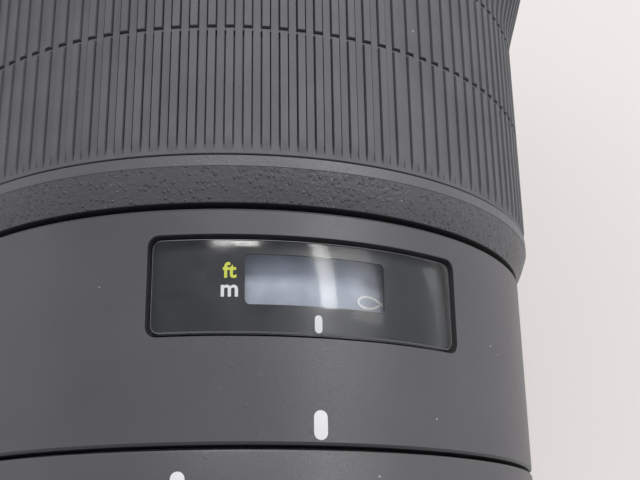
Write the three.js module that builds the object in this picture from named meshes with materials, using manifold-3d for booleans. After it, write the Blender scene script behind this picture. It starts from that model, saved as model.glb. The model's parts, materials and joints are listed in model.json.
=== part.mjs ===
// A fast short telephoto prime lens, 105 mm f/1.4, with a rotating tripod collar.
// Millimetres, +Z up. The origin is the centre of the tripod foot's flat underside.
// The optical axis runs along +Y, from the bayonet to the front glass.
// Inside the lens group y is counted from the bayonet's flange face, and an azimuth
// is counted from the top towards +X, as LatheGeometry does.
import * as THREE from 'three'
import { mergeVertices } from 'three/addons/utils/BufferGeometryUtils.js'
import Module from 'manifold-3d'

const wasm = await Module()
wasm.setup()

// ---- driving dimensions ----

const fitGap = 0.3 // between pieces that seat on each other
const runningGap = 0.3 // between pieces that move on each other
const outerSides = 36 // facets round a casing
const innerSides = 20 // facets round an inner piece

// outer radii
const barrelRadius = 49
const shoulderStep = 0.8 // the rear shoulder is this much smaller than the barrel
const gripRise = 1.85 // the grip stands this much above the barrel
const filterRadius = 52.5
const frontWall = 5.45
const flangeRadius = 33
const throatRadius = 27

// lengths along the axis
const shoulderLength = 14.7
const collarLength = 26
const seamGap = 0.6
const windowBarrelLength = 30.7
const ringGap = 0.8
const rimConeLength = 4.4
const rimBandLength = 1.6
const gripLength = 54.6
const gripCylinderLength = 36.6
const frontBarrelLength = 21.2
const frontLandLength = 7 // straight part behind the front edge

// walls
const barrelWall = 3.4
const seatDepth = 4.5 // of the groove that the collar turns in
const seatWall = 2.6 // under that groove
const rearFloor = 4
const tongueLength = 7 // of the rear barrel inside the window barrel
const drumWall = 1.2
const drumGap = 0.8 // between the barrel's bore and the scale drum
const camWall = 1.4
const innerWall = 2.4
const sleeveWall = 2
const sleeveStep = 2.9 // from the cam tube's outside to the sleeve's
const ringWall = 2.1
const rubberThickness = 1.65
const bayonetThickness = 2

// collar and foot
const axisHeight = 82
const restTurn = THREE.MathUtils.degToRad(20.7)
const footWidth = 38
const footLength = 84
const footPlateThickness = 10
const footOverhang = 3
const padDrop = 5.5
const padWidth = 26

// distance window
const windowArc = 45
const windowHeight = 13.6
const windowPlace = 20.6 // from the window barrel's rear edge
const windowCorner = 1.2
const paneThickness = 0.9
const maskThickness = 0.4
const apertureArc = 20.2
const apertureHeight = 7.1
const apertureShift = 1.05 // from the window's middle, towards the front

// focusing
const camTurn = THREE.MathUtils.degToRad(75)
const focusTravel = 6
const followerRadius = 1.6
const followerCount = 3

// grip
const ribCount = 128
const ribGrooveDepth = 0.9
const ribLand = 0.7 // part of each rib's pitch that stands at full height

// iris
const bladeCount = 9
const bladeLayers = 3
const bladeThickness = 0.3
const bladeWidth = 6.2
const bladeReach = 10.2 // from a blade's pivot in to the open aperture's edge
const bladeSpan = THREE.MathUtils.degToRad(84)
const bladePinRadius = 0.7
const actuatorAzimuth = THREE.MathUtils.degToRad(9)
const actuatorStep = 1 // the driving pins lie this much inside the pivots
const bladeSwing = THREE.MathUtils.degToRad(28)
const driveTurn = THREE.MathUtils.degToRad(20)

// ---- stations worked out from them ----

const collarStart = shoulderLength + fitGap
const collarEnd = collarStart + collarLength
const windowBarrelStart = collarEnd + seamGap
const windowBarrelEnd = windowBarrelStart + windowBarrelLength
const ringStart = windowBarrelEnd + ringGap
const bandStart = ringStart + rimConeLength
const bandEnd = bandStart + rimBandLength
const rubberStart = bandEnd + fitGap
const rubberEnd = rubberStart + gripLength
const flareStart = rubberStart + gripCylinderLength
const frontStart = rubberEnd + runningGap
const frontEnd = frontStart + frontBarrelLength
const flareEnd = frontEnd - frontLandLength
const footStart = collarStart - footOverhang
const footCentre = footStart + footLength / 2
const shoulderRadius = barrelRadius - shoulderStep
const gripRadius = barrelRadius + gripRise
const frontRadius = filterRadius + frontWall
const seatRadius = barrelRadius - seatDepth
const tongueEnd = windowBarrelStart + tongueLength
const innerBarrelStart = collarEnd - 5
const collarBore = seatRadius + runningGap
const barrelBore = barrelRadius - barrelWall
const drumRadius = barrelBore - drumGap
const camRadius = drumRadius - drumWall - fitGap
const innerRadius = camRadius - camWall - runningGap
const innerBore = innerRadius - innerWall
const cellRadius = innerBore - runningGap
const sleeveRadius = camRadius + sleeveStep
const sleeveBore = sleeveRadius - sleeveWall
const ringBore = sleeveRadius + runningGap
const rubberBore = gripRadius - rubberThickness

// ---- materials ----

const finish = (color, roughness, metalness) =>
  new THREE.MeshStandardMaterial({ color, roughness, metalness })
const blackPaint = () => finish(0x3a3b3e, 0.6, 0.2)
const rubber = () => finish(0x36373a, 0.85, 0)
const blackPlastic = () => finish(0x1b1c1e, 0.5, 0)
const glossBlack = () => finish(0x0c0d10, 0.1, 0)
const clearGlass = () => finish(0xcfe0e6, 0.03, 0)
const chromed = () => finish(0xc9c9cb, 0.25, 1)
const steel = () => finish(0x8f9194, 0.35, 1)
const brass = () => finish(0xb59a5a, 0.4, 1)
const aluminium = () => finish(0x9a9c9f, 0.45, 1)
const greyPlastic = () => finish(0x70757f, 0.6, 0)
const boardGreen = () => finish(0x1f5a3a, 0.6, 0)

// ---- making and cutting solids ----

const toSolid = (geometry) => {
  const plain = geometry.clone()
  plain.deleteAttribute('normal')
  plain.deleteAttribute('uv')
  const merged = mergeVertices(plain)
  const corners = merged.index.array
  const kept = []
  for (let i = 0; i < corners.length; i += 3) {
    const [a, b, c] = corners.slice(i, i + 3)
    if (a !== b && b !== c && c !== a) kept.push(a, b, c)
  }
  return new wasm.Manifold(new wasm.Mesh({
    numProp: 3,
    vertProperties: Float32Array.from(merged.attributes.position.array),
    triVerts: Uint32Array.from(kept),
  }))
}

const toGeometry = (solid) => {
  const mesh = solid.getMesh()
  const geometry = new THREE.BufferGeometry()
  geometry.setAttribute('position', new THREE.BufferAttribute(mesh.vertProperties, 3))
  geometry.setIndex(new THREE.BufferAttribute(mesh.triVerts, 1))
  geometry.computeVertexNormals()
  return geometry
}

const cut = (solid, geometry) => solid.subtract(toSolid(geometry))

const add = (parent, name, shape, material) => {
  const geometry = shape.isBufferGeometry ? shape : toGeometry(shape)
  const mesh = new THREE.Mesh(geometry, material)
  mesh.name = name
  parent.add(mesh)
  return mesh
}

// A ring whose section is a closed outline of [radius, y] corners.
const ringOf = (corners, sides = innerSides) => {
  const outline = corners.map(([r, y]) => new THREE.Vector2(r, y))
  if (THREE.ShapeUtils.isClockWise(outline)) outline.reverse()
  outline.push(outline[0].clone())
  return new THREE.LatheGeometry(outline, sides)
}

const tube = (inner, outer, start, end, sides) =>
  ringOf([[inner, start], [outer, start], [outer, end], [inner, end]], sides)

// An outline with rounded corners, its long edges divided so that it can be bent.
const roundedOutline = (width, height, corner, steps = 4) => {
  const points = []
  const turns = [[1, -1, -90], [1, 1, 0], [-1, 1, 90], [-1, -1, 180]]
  turns.forEach(([sideX, sideY, startAngle], side) => {
    const centre = new THREE.Vector2(sideX * (width / 2 - corner), sideY * (height / 2 - corner))
    for (let i = 0; i <= 3; i++) {
      const angle = THREE.MathUtils.degToRad(startAngle + i * 30)
      points.push(new THREE.Vector2(Math.cos(angle), Math.sin(angle)).multiplyScalar(corner).add(centre))
    }
    if (side === 1 || side === 3) {
      const last = points[points.length - 1]
      for (let i = 1; i < steps; i++) {
        points.push(new THREE.Vector2(last.x * (1 - (2 * i) / steps), last.y))
      }
    }
  })
  return points
}

// The outline of a slot whose middle line is a list of points.
const slotOutline = (path, halfWidth) => {
  const count = path.length
  const along = path.map((point, i) => {
    const next = path[Math.min(i + 1, count - 1)]
    const last = path[Math.max(i - 1, 0)]
    return next.clone().sub(last).normalize()
  })
  const side = (i, sign) =>
    path[i].clone().add(new THREE.Vector2(along[i].y, -along[i].x).multiplyScalar(sign * halfWidth))
  const cap = (i, sign) => [-45, 0, 45].map((angle) => {
    const outward = along[i].clone().multiplyScalar(sign)
    outward.rotateAround(new THREE.Vector2(), THREE.MathUtils.degToRad(angle))
    return path[i].clone().add(outward.multiplyScalar(halfWidth))
  })
  const right = path.map((point, i) => side(i, 1))
  const left = path.map((point, i) => side(i, -1)).reverse()
  return [...right, ...cap(count - 1, 1), ...left, ...cap(0, -1)]
}

// A flat outline of (arc length, y) bent round the axis and made into a radial prism.
const radialPrism = (outline, arcRadius, inner, outer, azimuth = 0) => {
  const options = { depth: outer - inner, bevelEnabled: false }
  const geometry = new THREE.ExtrudeGeometry(new THREE.Shape(outline), options)
  const place = geometry.attributes.position
  for (let i = 0; i < place.count; i++) {
    const angle = place.getX(i) / arcRadius + azimuth
    const radius = inner + place.getZ(i)
    place.setXYZ(i, radius * Math.sin(angle), place.getY(i), radius * Math.cos(angle))
  }
  return toSolid(geometry)
}

const shifted = (outline, y) => outline.map((point) => new THREE.Vector2(point.x, point.y + y))

// A patch of a tube, inside an outline of (arc length, y).
const patch = (outline, arcRadius, inner, outer, azimuth = 0, sides = outerSides) => {
  const ys = outline.map((point) => point.y)
  const blank = tube(inner, outer, Math.min(...ys) - 1, Math.max(...ys) + 1, sides)
  const prism = radialPrism(outline, arcRadius, inner * 0.8, outer * 1.25, azimuth)
  return toSolid(blank).intersect(prism)
}

const radialRod = (radius, inner, outer, y, azimuth, sides = 12) => {
  const rod = new THREE.CylinderGeometry(radius, radius, outer - inner, sides)
  rod.rotateX(Math.PI / 2)
  rod.translate(0, y, (inner + outer) / 2)
  rod.rotateY(azimuth)
  return rod
}

const axialRod = (radius, start, end, x, z, sides = 12) => {
  const rod = new THREE.CylinderGeometry(radius, radius, end - start, sides)
  rod.translate(x, (start + end) / 2, z)
  return rod
}

const around = (radius, azimuth) => [radius * Math.sin(azimuth), radius * Math.cos(azimuth)]
const turnOf = (index, count) => (index * 2 * Math.PI) / count

// ---- the scene graph ----

const model = new THREE.Group()
const lens = new THREE.Group()
lens.position.set(0, -footCentre, axisHeight)
model.add(lens)
const barrel = new THREE.Group()
barrel.rotation.y = restTurn
lens.add(barrel)

// ---- flared outside of the grip and the front barrel ----

const flarePoint = (rise, run) => new THREE.Vector2(
  gripRadius + (frontRadius - gripRadius) * rise,
  flareStart + (flareEnd - flareStart) * run,
)
const flareCurve = new THREE.CubicBezierCurve(
  flarePoint(0, 0),
  flarePoint(0, 0.16),
  flarePoint(0.58, 0.38),
  flarePoint(1, 1),
)

const flareRadius = (y) => {
  if (y <= flareStart) return gripRadius
  if (y >= flareEnd) return frontRadius
  let low = 0
  let high = 1
  for (let i = 0; i < 30; i++) {
    const middle = (low + high) / 2
    if (flareCurve.getPoint(middle).y < y) low = middle
    else high = middle
  }
  return flareCurve.getPoint(low).x
}

const flareStations = (start, end, steps) =>
  Array.from({ length: steps + 1 }, (unused, i) => start + ((end - start) * i) / steps)

// ---- tripod collar, foot and clamp ----

const knobSide = -1
const bossRadius = 9
const bossReach = barrelRadius + 8
const screwRadius = 3
const shoeRadius = 6
const shoeThickness = 3.4
const shoeStart = seatRadius + 0.5
const clampLift = 1 // room for the shoe to be drawn back
const collarChamfer = 0.5
const knobRadius = 11
const knobLength = 10
const knobLobes = 10
const knobLobeDepth = 0.6
const knobWasher = 1.2

const collarMiddle = collarStart + collarLength / 2
const padTop = barrelRadius + padDrop
const padLength = collarLength - 4

function makeCollar() {
  const pad = new THREE.BoxGeometry(padWidth, padLength, padTop - collarBore)
  pad.translate(0, collarMiddle, -(padTop + collarBore) / 2)
  const boss = new THREE.CylinderGeometry(bossRadius, bossRadius, bossReach - collarBore, 24)
  boss.rotateZ(Math.PI / 2)
  boss.translate((knobSide * (bossReach + collarBore)) / 2, collarMiddle, 0)
  const outside = ringOf([
    [collarBore - 1, collarStart],
    [barrelRadius - collarChamfer, collarStart],
    [barrelRadius, collarStart + collarChamfer],
    [barrelRadius, collarEnd],
    [collarBore - 1, collarEnd],
  ], outerSides)
  const bore = new THREE.CylinderGeometry(collarBore, collarBore, collarLength * 2, outerSides)
  bore.translate(0, collarMiddle, 0)
  let collar = toSolid(outside).add(toSolid(pad)).add(toSolid(boss)).subtract(toSolid(bore))
  const shoeBore = shoeStart + shoeThickness + clampLift + runningGap
  collar = cut(collar, sideRod(shoeRadius + runningGap, collarBore - 3, shoeBore, 20))
  collar = cut(collar, sideRod(screwRadius + runningGap, collarBore, bossReach + 1, 16))
  for (const y of footScrewPlaces()) {
    const tip = padTop - footScrewBite - fitGap
    collar = cut(collar, downRod(footScrewRadius + fitGap, tip, padTop + 1, y, 12))
  }
  add(lens, 'collar_ring', collar, blackPaint())
}

// A round bar along X on the knob's side, between two distances from the axis.
function sideRod(radius, inner, outer, sides) {
  const rod = new THREE.CylinderGeometry(radius, radius, outer - inner, sides)
  rod.rotateZ(Math.PI / 2)
  rod.translate((knobSide * (inner + outer)) / 2, collarMiddle, 0)
  return rod
}

// A round bar under the axis, between two depths.
function downRod(radius, inner, outer, y, sides) {
  const rod = new THREE.CylinderGeometry(radius, radius, outer - inner, sides)
  rod.rotateX(Math.PI / 2)
  rod.translate(0, y, -(inner + outer) / 2)
  return rod
}

const footScrewRadius = 2
const footScrewHead = 3.5
const footScrewHeadLength = 4
const footScrewBite = 4.5 // into the collar's pad
const footScrewKey = 1.5
const footScrewSeat = 2 // of foot left above a screw's head, over the plate
const footScrewSpacing = 12

function footScrewPlaces() {
  return [collarMiddle - footScrewSpacing / 2, collarMiddle + footScrewSpacing / 2]
}

function makeClamp() {
  const shoe = sideRod(shoeRadius, shoeStart, shoeStart + shoeThickness, 20)
  add(lens, 'clamp_shoe', shoe, brass())
  const screwTip = shoeStart + shoeThickness + fitGap
  const knobStart = bossReach + fitGap
  const screw = sideRod(screwRadius, screwTip, knobStart + 1, 16)
  const head = sideRod(bossRadius - 2, knobStart, knobStart + knobWasher, 24)
  add(lens, 'clamp_screw', toSolid(screw).add(toSolid(head)), steel())
  const lobes = []
  for (let i = 0; i < knobLobes * 4; i++) {
    const angle = turnOf(i, knobLobes * 4)
    const radius = knobRadius - knobLobeDepth * (1 - Math.cos(angle * knobLobes))
    lobes.push(new THREE.Vector2(radius * Math.cos(angle), radius * Math.sin(angle)))
  }
  const options = { depth: knobLength, bevelEnabled: false }
  const knob = new THREE.ExtrudeGeometry(new THREE.Shape(lobes), options)
  knob.rotateY((knobSide * Math.PI) / 2)
  knob.translate(knobSide * (knobStart + knobWasher + fitGap), collarMiddle, 0)
  add(lens, 'clamp_knob', knob, rubber())
}

const dovetailDepth = 3.2
const dovetailInset = 3
const socketRadius = 3.2
const socketDepth = 8.5
const wideSocketRadius = 4.8
const wideSocketPlace = -9 // from the foot's centre, towards the front
const socketPlace = 15
const neckFillet = 8

function makeFoot() {
  const bottom = -axisHeight
  const plateTop = bottom + footPlateThickness
  const top = -(padTop + fitGap)
  const footEnd = footStart + footLength
  const armStart = collarMiddle - padLength / 2
  const armEnd = collarMiddle + padLength / 2
  const fillet = Math.min(neckFillet, (top - plateTop) * 0.8)
  const side = new THREE.Shape()
  side.moveTo(footStart + 2, bottom)
  side.lineTo(footEnd - 2, bottom)
  side.quadraticCurveTo(footEnd, bottom, footEnd, bottom + 3)
  side.lineTo(footEnd, plateTop - 4)
  side.quadraticCurveTo(footEnd, plateTop, footEnd - 5, plateTop)
  side.lineTo(armEnd + fillet, plateTop)
  side.quadraticCurveTo(armEnd, plateTop, armEnd, plateTop + fillet)
  side.lineTo(armEnd, top)
  side.lineTo(armStart, top)
  side.quadraticCurveTo(armStart, plateTop, footStart, plateTop - 3)
  side.lineTo(footStart, bottom + 2)
  const width = footWidth / 2
  const neck = padWidth / 2
  const front = new THREE.Shape()
  front.moveTo(-width, bottom)
  front.lineTo(width, bottom)
  front.lineTo(width, bottom + 0.8)
  front.lineTo(width - dovetailInset, bottom + dovetailDepth)
  front.lineTo(width - dovetailInset, plateTop - 1)
  front.quadraticCurveTo(neck, plateTop + fillet / 4, neck, plateTop + fillet)
  front.lineTo(neck, top)
  front.lineTo(-neck, top)
  front.lineTo(-neck, plateTop + fillet)
  front.quadraticCurveTo(-neck, plateTop + fillet / 4, -width + dovetailInset, plateTop - 1)
  front.lineTo(-width + dovetailInset, bottom + dovetailDepth)
  front.lineTo(-width, bottom + 0.8)
  const acrossOptions = { depth: footWidth + 2, bevelEnabled: false, curveSegments: 5 }
  const across = new THREE.ExtrudeGeometry(side, acrossOptions)
  // the side outline is drawn in (y, z) and pushed across x
  across.rotateX(Math.PI / 2)
  across.rotateZ(Math.PI / 2)
  across.translate(-width - 1, 0, 0)
  const alongOptions = { depth: footLength + 2, bevelEnabled: false, curveSegments: 5 }
  const along = new THREE.ExtrudeGeometry(front, alongOptions)
  along.rotateX(Math.PI / 2)
  along.translate(0, footEnd + 1, 0)
  let foot = toSolid(across).intersect(toSolid(along))
  const sockets = [[wideSocketPlace, wideSocketRadius], [socketPlace, socketRadius]]
  for (const [offset, radius] of sockets) {
    const depth = axisHeight - socketDepth
    foot = cut(foot, downRod(radius, depth, axisHeight + 1, footCentre + offset, 16))
  }
  const headTop = axisHeight - footPlateThickness - footScrewSeat
  for (const y of footScrewPlaces()) {
    foot = cut(foot, downRod(footScrewHead + fitGap, headTop, axisHeight + 1, y, 16))
    foot = cut(foot, downRod(footScrewRadius + fitGap, padTop, axisHeight, y, 12))
  }
  add(lens, 'tripod_foot', foot, blackPaint())
  footScrewPlaces().forEach((y, i) => {
    const headStart = headTop + fitGap
    const head = downRod(footScrewHead, headStart, headStart + footScrewHeadLength, y, 16)
    const shank = downRod(footScrewRadius, padTop - footScrewBite, headStart + 1, y, 12)
    const key = downRod(footScrewKey, headStart + 1.5, headStart + footScrewHeadLength + 1, y, 6)
    const screw = toSolid(head).add(toSolid(shank)).subtract(toSolid(key))
    add(lens, `foot_screw_${i + 1}`, screw, steel())
  })
}

makeCollar()
makeClamp()
makeFoot()

// ---- bayonet and rear barrel ----

const lugReach = 4.2
const bayonetWall = 2.2
const bayonetTubeRadius = throatRadius + bayonetWall
const bayonetDepth = 5.2
const lugThickness = 1.4
const lugSpan = 52
const screwCircle = (flangeRadius + bayonetTubeRadius) / 2 + 0.3
const mountScrewCount = 4
const mountScrewRadius = 0.9
const mountScrewHead = 1.35
const rearBore = bayonetTubeRadius + 0.4

function makeBayonet() {
  const flange = ringOf([
    [throatRadius, -bayonetDepth],
    [bayonetTubeRadius, -bayonetDepth],
    [bayonetTubeRadius, 0],
    [flangeRadius, 0],
    [flangeRadius, bayonetThickness],
    [throatRadius, bayonetThickness],
  ], outerSides)
  let bayonet = toSolid(flange)
  const lugArc = THREE.MathUtils.degToRad(lugSpan) * throatRadius
  for (let i = 0; i < 3; i++) {
    const outline = shifted(roundedOutline(lugArc, lugThickness, 0.3), -bayonetDepth + lugThickness / 2)
    const lug = patch(outline, throatRadius, throatRadius + 0.6, throatRadius + lugReach, turnOf(i, 3))
    bayonet = bayonet.add(lug)
  }
  for (let i = 0; i < mountScrewCount; i++) {
    const [x, z] = around(screwCircle, turnOf(i + 0.5, mountScrewCount))
    bayonet = cut(bayonet, axialRod(mountScrewHead + fitGap, -0.1, bayonetThickness - 0.7, x, z, 8))
    bayonet = cut(bayonet, axialRod(mountScrewRadius + fitGap, -0.1, bayonetThickness + 1, x, z, 8))
  }
  add(barrel, 'mount_bayonet', bayonet, chromed())
  for (let i = 0; i < mountScrewCount; i++) {
    const [x, z] = around(screwCircle, turnOf(i + 0.5, mountScrewCount))
    const head = axialRod(mountScrewHead, 0.1, bayonetThickness - 1, x, z, 8)
    const shank = axialRod(mountScrewRadius, 0.5, bayonetThickness + 3.5, x, z, 8)
    add(barrel, `mount_screw_${i + 1}`, toSolid(head).add(toSolid(shank)), steel())
  }
}

function makeRearBarrel() {
  const start = bayonetThickness + fitGap
  let shell = toSolid(ringOf([
    [rearBore, start],
    [flangeRadius + 1.6, start],
    [flangeRadius + 3, start + 1.4],
    [shoulderRadius - 1.2, shoulderLength - 3.2],
    [shoulderRadius, shoulderLength - 2],
    [shoulderRadius, shoulderLength],
    [seatRadius, shoulderLength],
    [seatRadius, collarEnd + seamGap / 2],
    [barrelBore - fitGap, collarEnd + seamGap / 2],
    [barrelBore - fitGap, tongueEnd],
    [seatRadius - seatWall, tongueEnd],
    [seatRadius - seatWall, shoulderLength + 3],
    [flangeRadius + 1, start + rearFloor],
    [rearBore, start + rearFloor],
  ], outerSides))
  for (let i = 0; i < mountScrewCount; i++) {
    const [x, z] = around(screwCircle, turnOf(i + 0.5, mountScrewCount))
    const holeEnd = start + rearFloor + 0.5
    shell = cut(shell, axialRod(mountScrewRadius + fitGap, start - 1, holeEnd, x, z, 8))
  }
  add(barrel, 'rear_barrel', shell, blackPaint())
  const seal = ringOf([
    [flangeRadius + fitGap, 0.2],
    [flangeRadius + 1.9, -0.3],
    [flangeRadius + 1.3, bayonetThickness],
    [flangeRadius + fitGap, bayonetThickness],
  ], outerSides)
  add(barrel, 'mount_seal', seal, rubber())
}

const contactArc = 30
const contactLength = 4.4
const contactDepth = 2.6
const gateWidth = 38
const gateHeight = 28
const baffleThickness = 1.2
const baffleRim = 1.5

function makeRearFittings() {
  const bore = throatRadius - fitGap
  const contactPlace = -bayonetDepth + 0.4 + contactLength / 2
  const outline = shifted(roundedOutline(contactArc, contactLength, 0.4), contactPlace)
  const block = patch(outline, throatRadius, bore - contactDepth, bore, Math.PI)
  add(barrel, 'contact_block', block, blackPlastic())
  const baffleStart = bayonetThickness - 1.4
  const gate = new THREE.BoxGeometry(gateWidth, 6, gateHeight)
  const disc = new THREE.CylinderGeometry(bore, bore, baffleThickness, outerSides)
  disc.translate(0, baffleStart + baffleThickness / 2, 0)
  const widest = new THREE.CylinderGeometry(bore - baffleRim, bore - baffleRim, 6, outerSides)
  const opening = toSolid(gate).intersect(toSolid(widest))
  add(barrel, 'rear_baffle', toSolid(disc).subtract(opening), blackPlastic())
}

makeBayonet()
makeRearBarrel()
makeRearFittings()

// ---- window barrel, its window and the focus switch ----

const windowMiddle = windowBarrelStart + windowPlace - seamGap / 2
const paneSink = 0.25 // the pane lies this much under the barrel's surface
const paneGap = 0.45
const paneRadius = barrelRadius - paneSink
const maskRadius = paneRadius - paneThickness - fitGap
const ledgeRadius = maskRadius - maskThickness - fitGap
const ledgeWidth = 1.5

const switchAzimuth = THREE.MathUtils.degToRad(-88)
const switchMiddle = windowMiddle
const plateArc = 13
const plateLength = 20
const plateRadius = barrelRadius + 0.1
const plateThickness = 1
const sliderArc = 5
const sliderLength = 6
const sliderTravel = 3.6
const sliderRise = 1.1
const sliderGroovePitch = 1.6

function makeWindowBarrel() {
  let shell = toSolid(tube(barrelBore, barrelRadius, windowBarrelStart, windowBarrelEnd, outerSides))
  const glassHole = shifted(roundedOutline(windowArc, windowHeight, windowCorner), windowMiddle)
  shell = shell.subtract(patch(glassHole, barrelRadius, ledgeRadius, barrelRadius + 2))
  const viewArc = apertureArc + 2 * ledgeWidth
  const viewHeight = apertureHeight + 2 * ledgeWidth
  const viewHole = shifted(roundedOutline(viewArc, viewHeight, 1), windowMiddle + apertureShift)
  shell = shell.subtract(patch(viewHole, barrelRadius, barrelBore - 1, barrelRadius + 2))
  const pocketGrow = 2 * fitGap
  const pocket = shifted(roundedOutline(plateArc + pocketGrow, plateLength + pocketGrow, 2), switchMiddle)
  const pocketFloor = plateRadius - plateThickness - fitGap
  shell = shell.subtract(patch(pocket, barrelRadius, pocketFloor, barrelRadius + 2, switchAzimuth))
  add(barrel, 'window_barrel', shell, blackPaint())
}

function makeWindow() {
  const arc = windowArc - 2 * paneGap
  const height = windowHeight - 2 * paneGap
  const outline = shifted(roundedOutline(arc, height, windowCorner), windowMiddle)
  const pane = patch(outline, barrelRadius, paneRadius - paneThickness, paneRadius)
  add(barrel, 'window_pane', pane, clearGlass())
  const view = shifted(roundedOutline(apertureArc, apertureHeight, 0.5), windowMiddle + apertureShift)
  const blank = patch(outline, barrelRadius, maskRadius - maskThickness, maskRadius)
  const cut = patch(view, barrelRadius, maskRadius - 2, maskRadius + 2)
  add(barrel, 'window_mask', blank.subtract(cut), glossBlack())
}

function makeSwitch() {
  const floor = plateRadius - plateThickness
  const outline = shifted(roundedOutline(plateArc, plateLength, 2), switchMiddle)
  const slotArc = sliderArc + 2 * runningGap
  const slotLength = sliderLength + sliderTravel + 2 * runningGap
  const slot = shifted(roundedOutline(slotArc, slotLength, 0.8), switchMiddle)
  let plate = patch(outline, barrelRadius, floor, plateRadius, switchAzimuth)
  plate = plate.subtract(patch(slot, barrelRadius, floor - 1, plateRadius + 1, switchAzimuth))
  add(barrel, 'switch_plate', plate, blackPlastic())
  const restPlace = switchMiddle + sliderTravel / 2
  const body = shifted(roundedOutline(sliderArc, sliderLength, 0.6), restPlace)
  let slider = patch(body, barrelRadius, floor, plateRadius + sliderRise, switchAzimuth)
  for (const offset of [-sliderGroovePitch, 0, sliderGroovePitch]) {
    const groove = shifted(roundedOutline(sliderArc + 2, 0.6, 0.1), restPlace + offset)
    const floorRadius = plateRadius + sliderRise / 2
    slider = slider.subtract(patch(groove, barrelRadius, floorRadius, plateRadius + 3, switchAzimuth))
  }
  add(barrel, 'switch_slider', slider, blackPlastic())
}

makeWindowBarrel()
makeWindow()
makeSwitch()

// ---- focus ring and its rubber ----

function makeFocusRing() {
  const seatGap = rubberBore - fitGap
  const outer = flareStations(flareStart, rubberEnd, 2)
  const corners = [
    [ringBore, ringStart],
    [barrelRadius - 0.2, ringStart],
    [barrelRadius + 0.6, ringStart + rimConeLength * 0.35],
    [gripRadius - 0.1, bandStart],
    [gripRadius, bandStart + 0.1],
    [gripRadius, bandEnd],
    [seatGap, bandEnd],
  ]
  for (const y of outer) corners.push([flareRadius(y) - gripRadius + seatGap, y])
  for (const y of outer.reverse()) corners.push([flareRadius(y) - gripRadius + ringBore, y])
  add(barrel, 'focus_ring', ringOf(corners, outerSides), blackPaint())
}

// The rubber sleeve is a ribbed outline pushed along the axis and opened out along the flare.
function makeGrip() {
  const stations = [rubberStart, ...flareStations(flareStart, rubberEnd, 2)]
  const outline = []
  for (let i = 0; i < ribCount; i++) {
    const edge = (1 - ribLand) / 2
    const rib = [[edge, gripRadius], [1 - edge, gripRadius], [1, gripRadius - ribGrooveDepth]]
    for (const [part, radius] of rib) {
      const angle = turnOf(i + part, ribCount)
      outline.push(new THREE.Vector2(radius * Math.cos(angle), radius * Math.sin(angle)))
    }
  }
  const shape = new THREE.Shape(outline)
  const hole = Array.from({ length: outerSides }, (unused, i) => {
    const angle = turnOf(i, outerSides)
    return new THREE.Vector2(rubberBore * Math.cos(angle), rubberBore * Math.sin(angle))
  })
  shape.holes.push(new THREE.Path(hole))
  const steps = stations.length - 1
  const sleeve = new THREE.ExtrudeGeometry(shape, { depth: steps, steps, bevelEnabled: false })
  const place = sleeve.attributes.position
  for (let i = 0; i < place.count; i++) {
    const y = stations[Math.round(place.getZ(i))]
    const radius = Math.hypot(place.getX(i), place.getY(i))
    const stretch = (radius + flareRadius(y) - gripRadius) / radius
    place.setXYZ(i, place.getY(i) * stretch, y, place.getX(i) * stretch)
  }
  add(barrel, 'grip_rubber', toSolid(sleeve), rubber())
}

makeFocusRing()
makeGrip()

// ---- front barrel ----

const filterDepth = 6
const filterLip = 7 // from the filter thread in to the front glass
const frontLip = 0.5
const nameRingThickness = 1.4
const nameRingInset = 1.2
const glassRadius = filterRadius - filterLip
const frontCellRadius = glassRadius + 2
const frontCellBack = 112
const coneStart = frontStart - 6 // the cone that joins the sleeve to the front cell's seat
const coneEnd = frontStart + 1
const sleeveStart = ringStart + 3

function makeFrontBarrel() {
  const seatStart = frontEnd - filterDepth
  const waist = frontStart - 4
  const corners = [
    [sleeveBore, sleeveStart],
    [sleeveRadius, sleeveStart],
    [sleeveRadius, waist],
    [flareRadius(frontStart) - ringWall - 2.5, frontStart],
  ]
  for (const y of flareStations(frontStart, flareEnd, 2)) corners.push([flareRadius(y), y])
  corners.push(
    [frontRadius, frontEnd - frontLip],
    [frontRadius - frontLip, frontEnd],
    [filterRadius, frontEnd],
    [filterRadius, seatStart],
    [frontCellRadius + fitGap, seatStart],
    [frontCellRadius + fitGap, coneEnd],
    [sleeveBore, coneStart],
  )
  add(barrel, 'front_barrel', ringOf(corners, outerSides), blackPaint())
  const ringEdge = seatStart + fitGap
  const nameRing = ringOf([
    [glassRadius - nameRingInset, ringEdge - 0.1],
    [filterRadius - fitGap, ringEdge],
    [filterRadius - fitGap, ringEdge + nameRingThickness],
    [filterRadius - 1.5, ringEdge + nameRingThickness],
    [glassRadius - nameRingInset, ringEdge + 0.5],
  ], outerSides)
  add(barrel, 'front_ring', nameRing, blackPlastic())
}

makeFrontBarrel()

// ---- cells and glass ----

// A glass element: its rim, and how far each face bulges forward at the axis.
const element = (radius, rimStart, rimEnd, backBulge, frontBulge, steps = 2) => {
  const outline = []
  for (let i = 0; i <= steps; i++) {
    const r = (radius * i) / steps
    outline.push(new THREE.Vector2(r, rimStart + backBulge * (1 - (r / radius) ** 2)))
  }
  for (let i = steps; i >= 0; i--) {
    const r = (radius * i) / steps
    outline.push(new THREE.Vector2(r, rimEnd + frontBulge * (1 - (r / radius) ** 2)))
  }
  return toSolid(new THREE.LatheGeometry(outline, innerSides))
}

const seatStep = 1
const frontCellBore = sleeveBore - fitGap
const secondGlass = frontCellBore - 1.4
const thirdGlass = frontCellBore - 4.9
const fourthGlass = cellRadius - 3.4
const fifthGlass = cellRadius - 6.9
const focusGlass = cellRadius - 5.9
const rearGlass = throatRadius + 3
const ninthGlass = throatRadius - 0.5
const lastGlass = throatRadius - 3.5

// Corners that step a bore out at a seat, from the shoulder to the glass.
const seat = (radius, y) => [[radius - seatStep, y], [radius + fitGap, y]]

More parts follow.
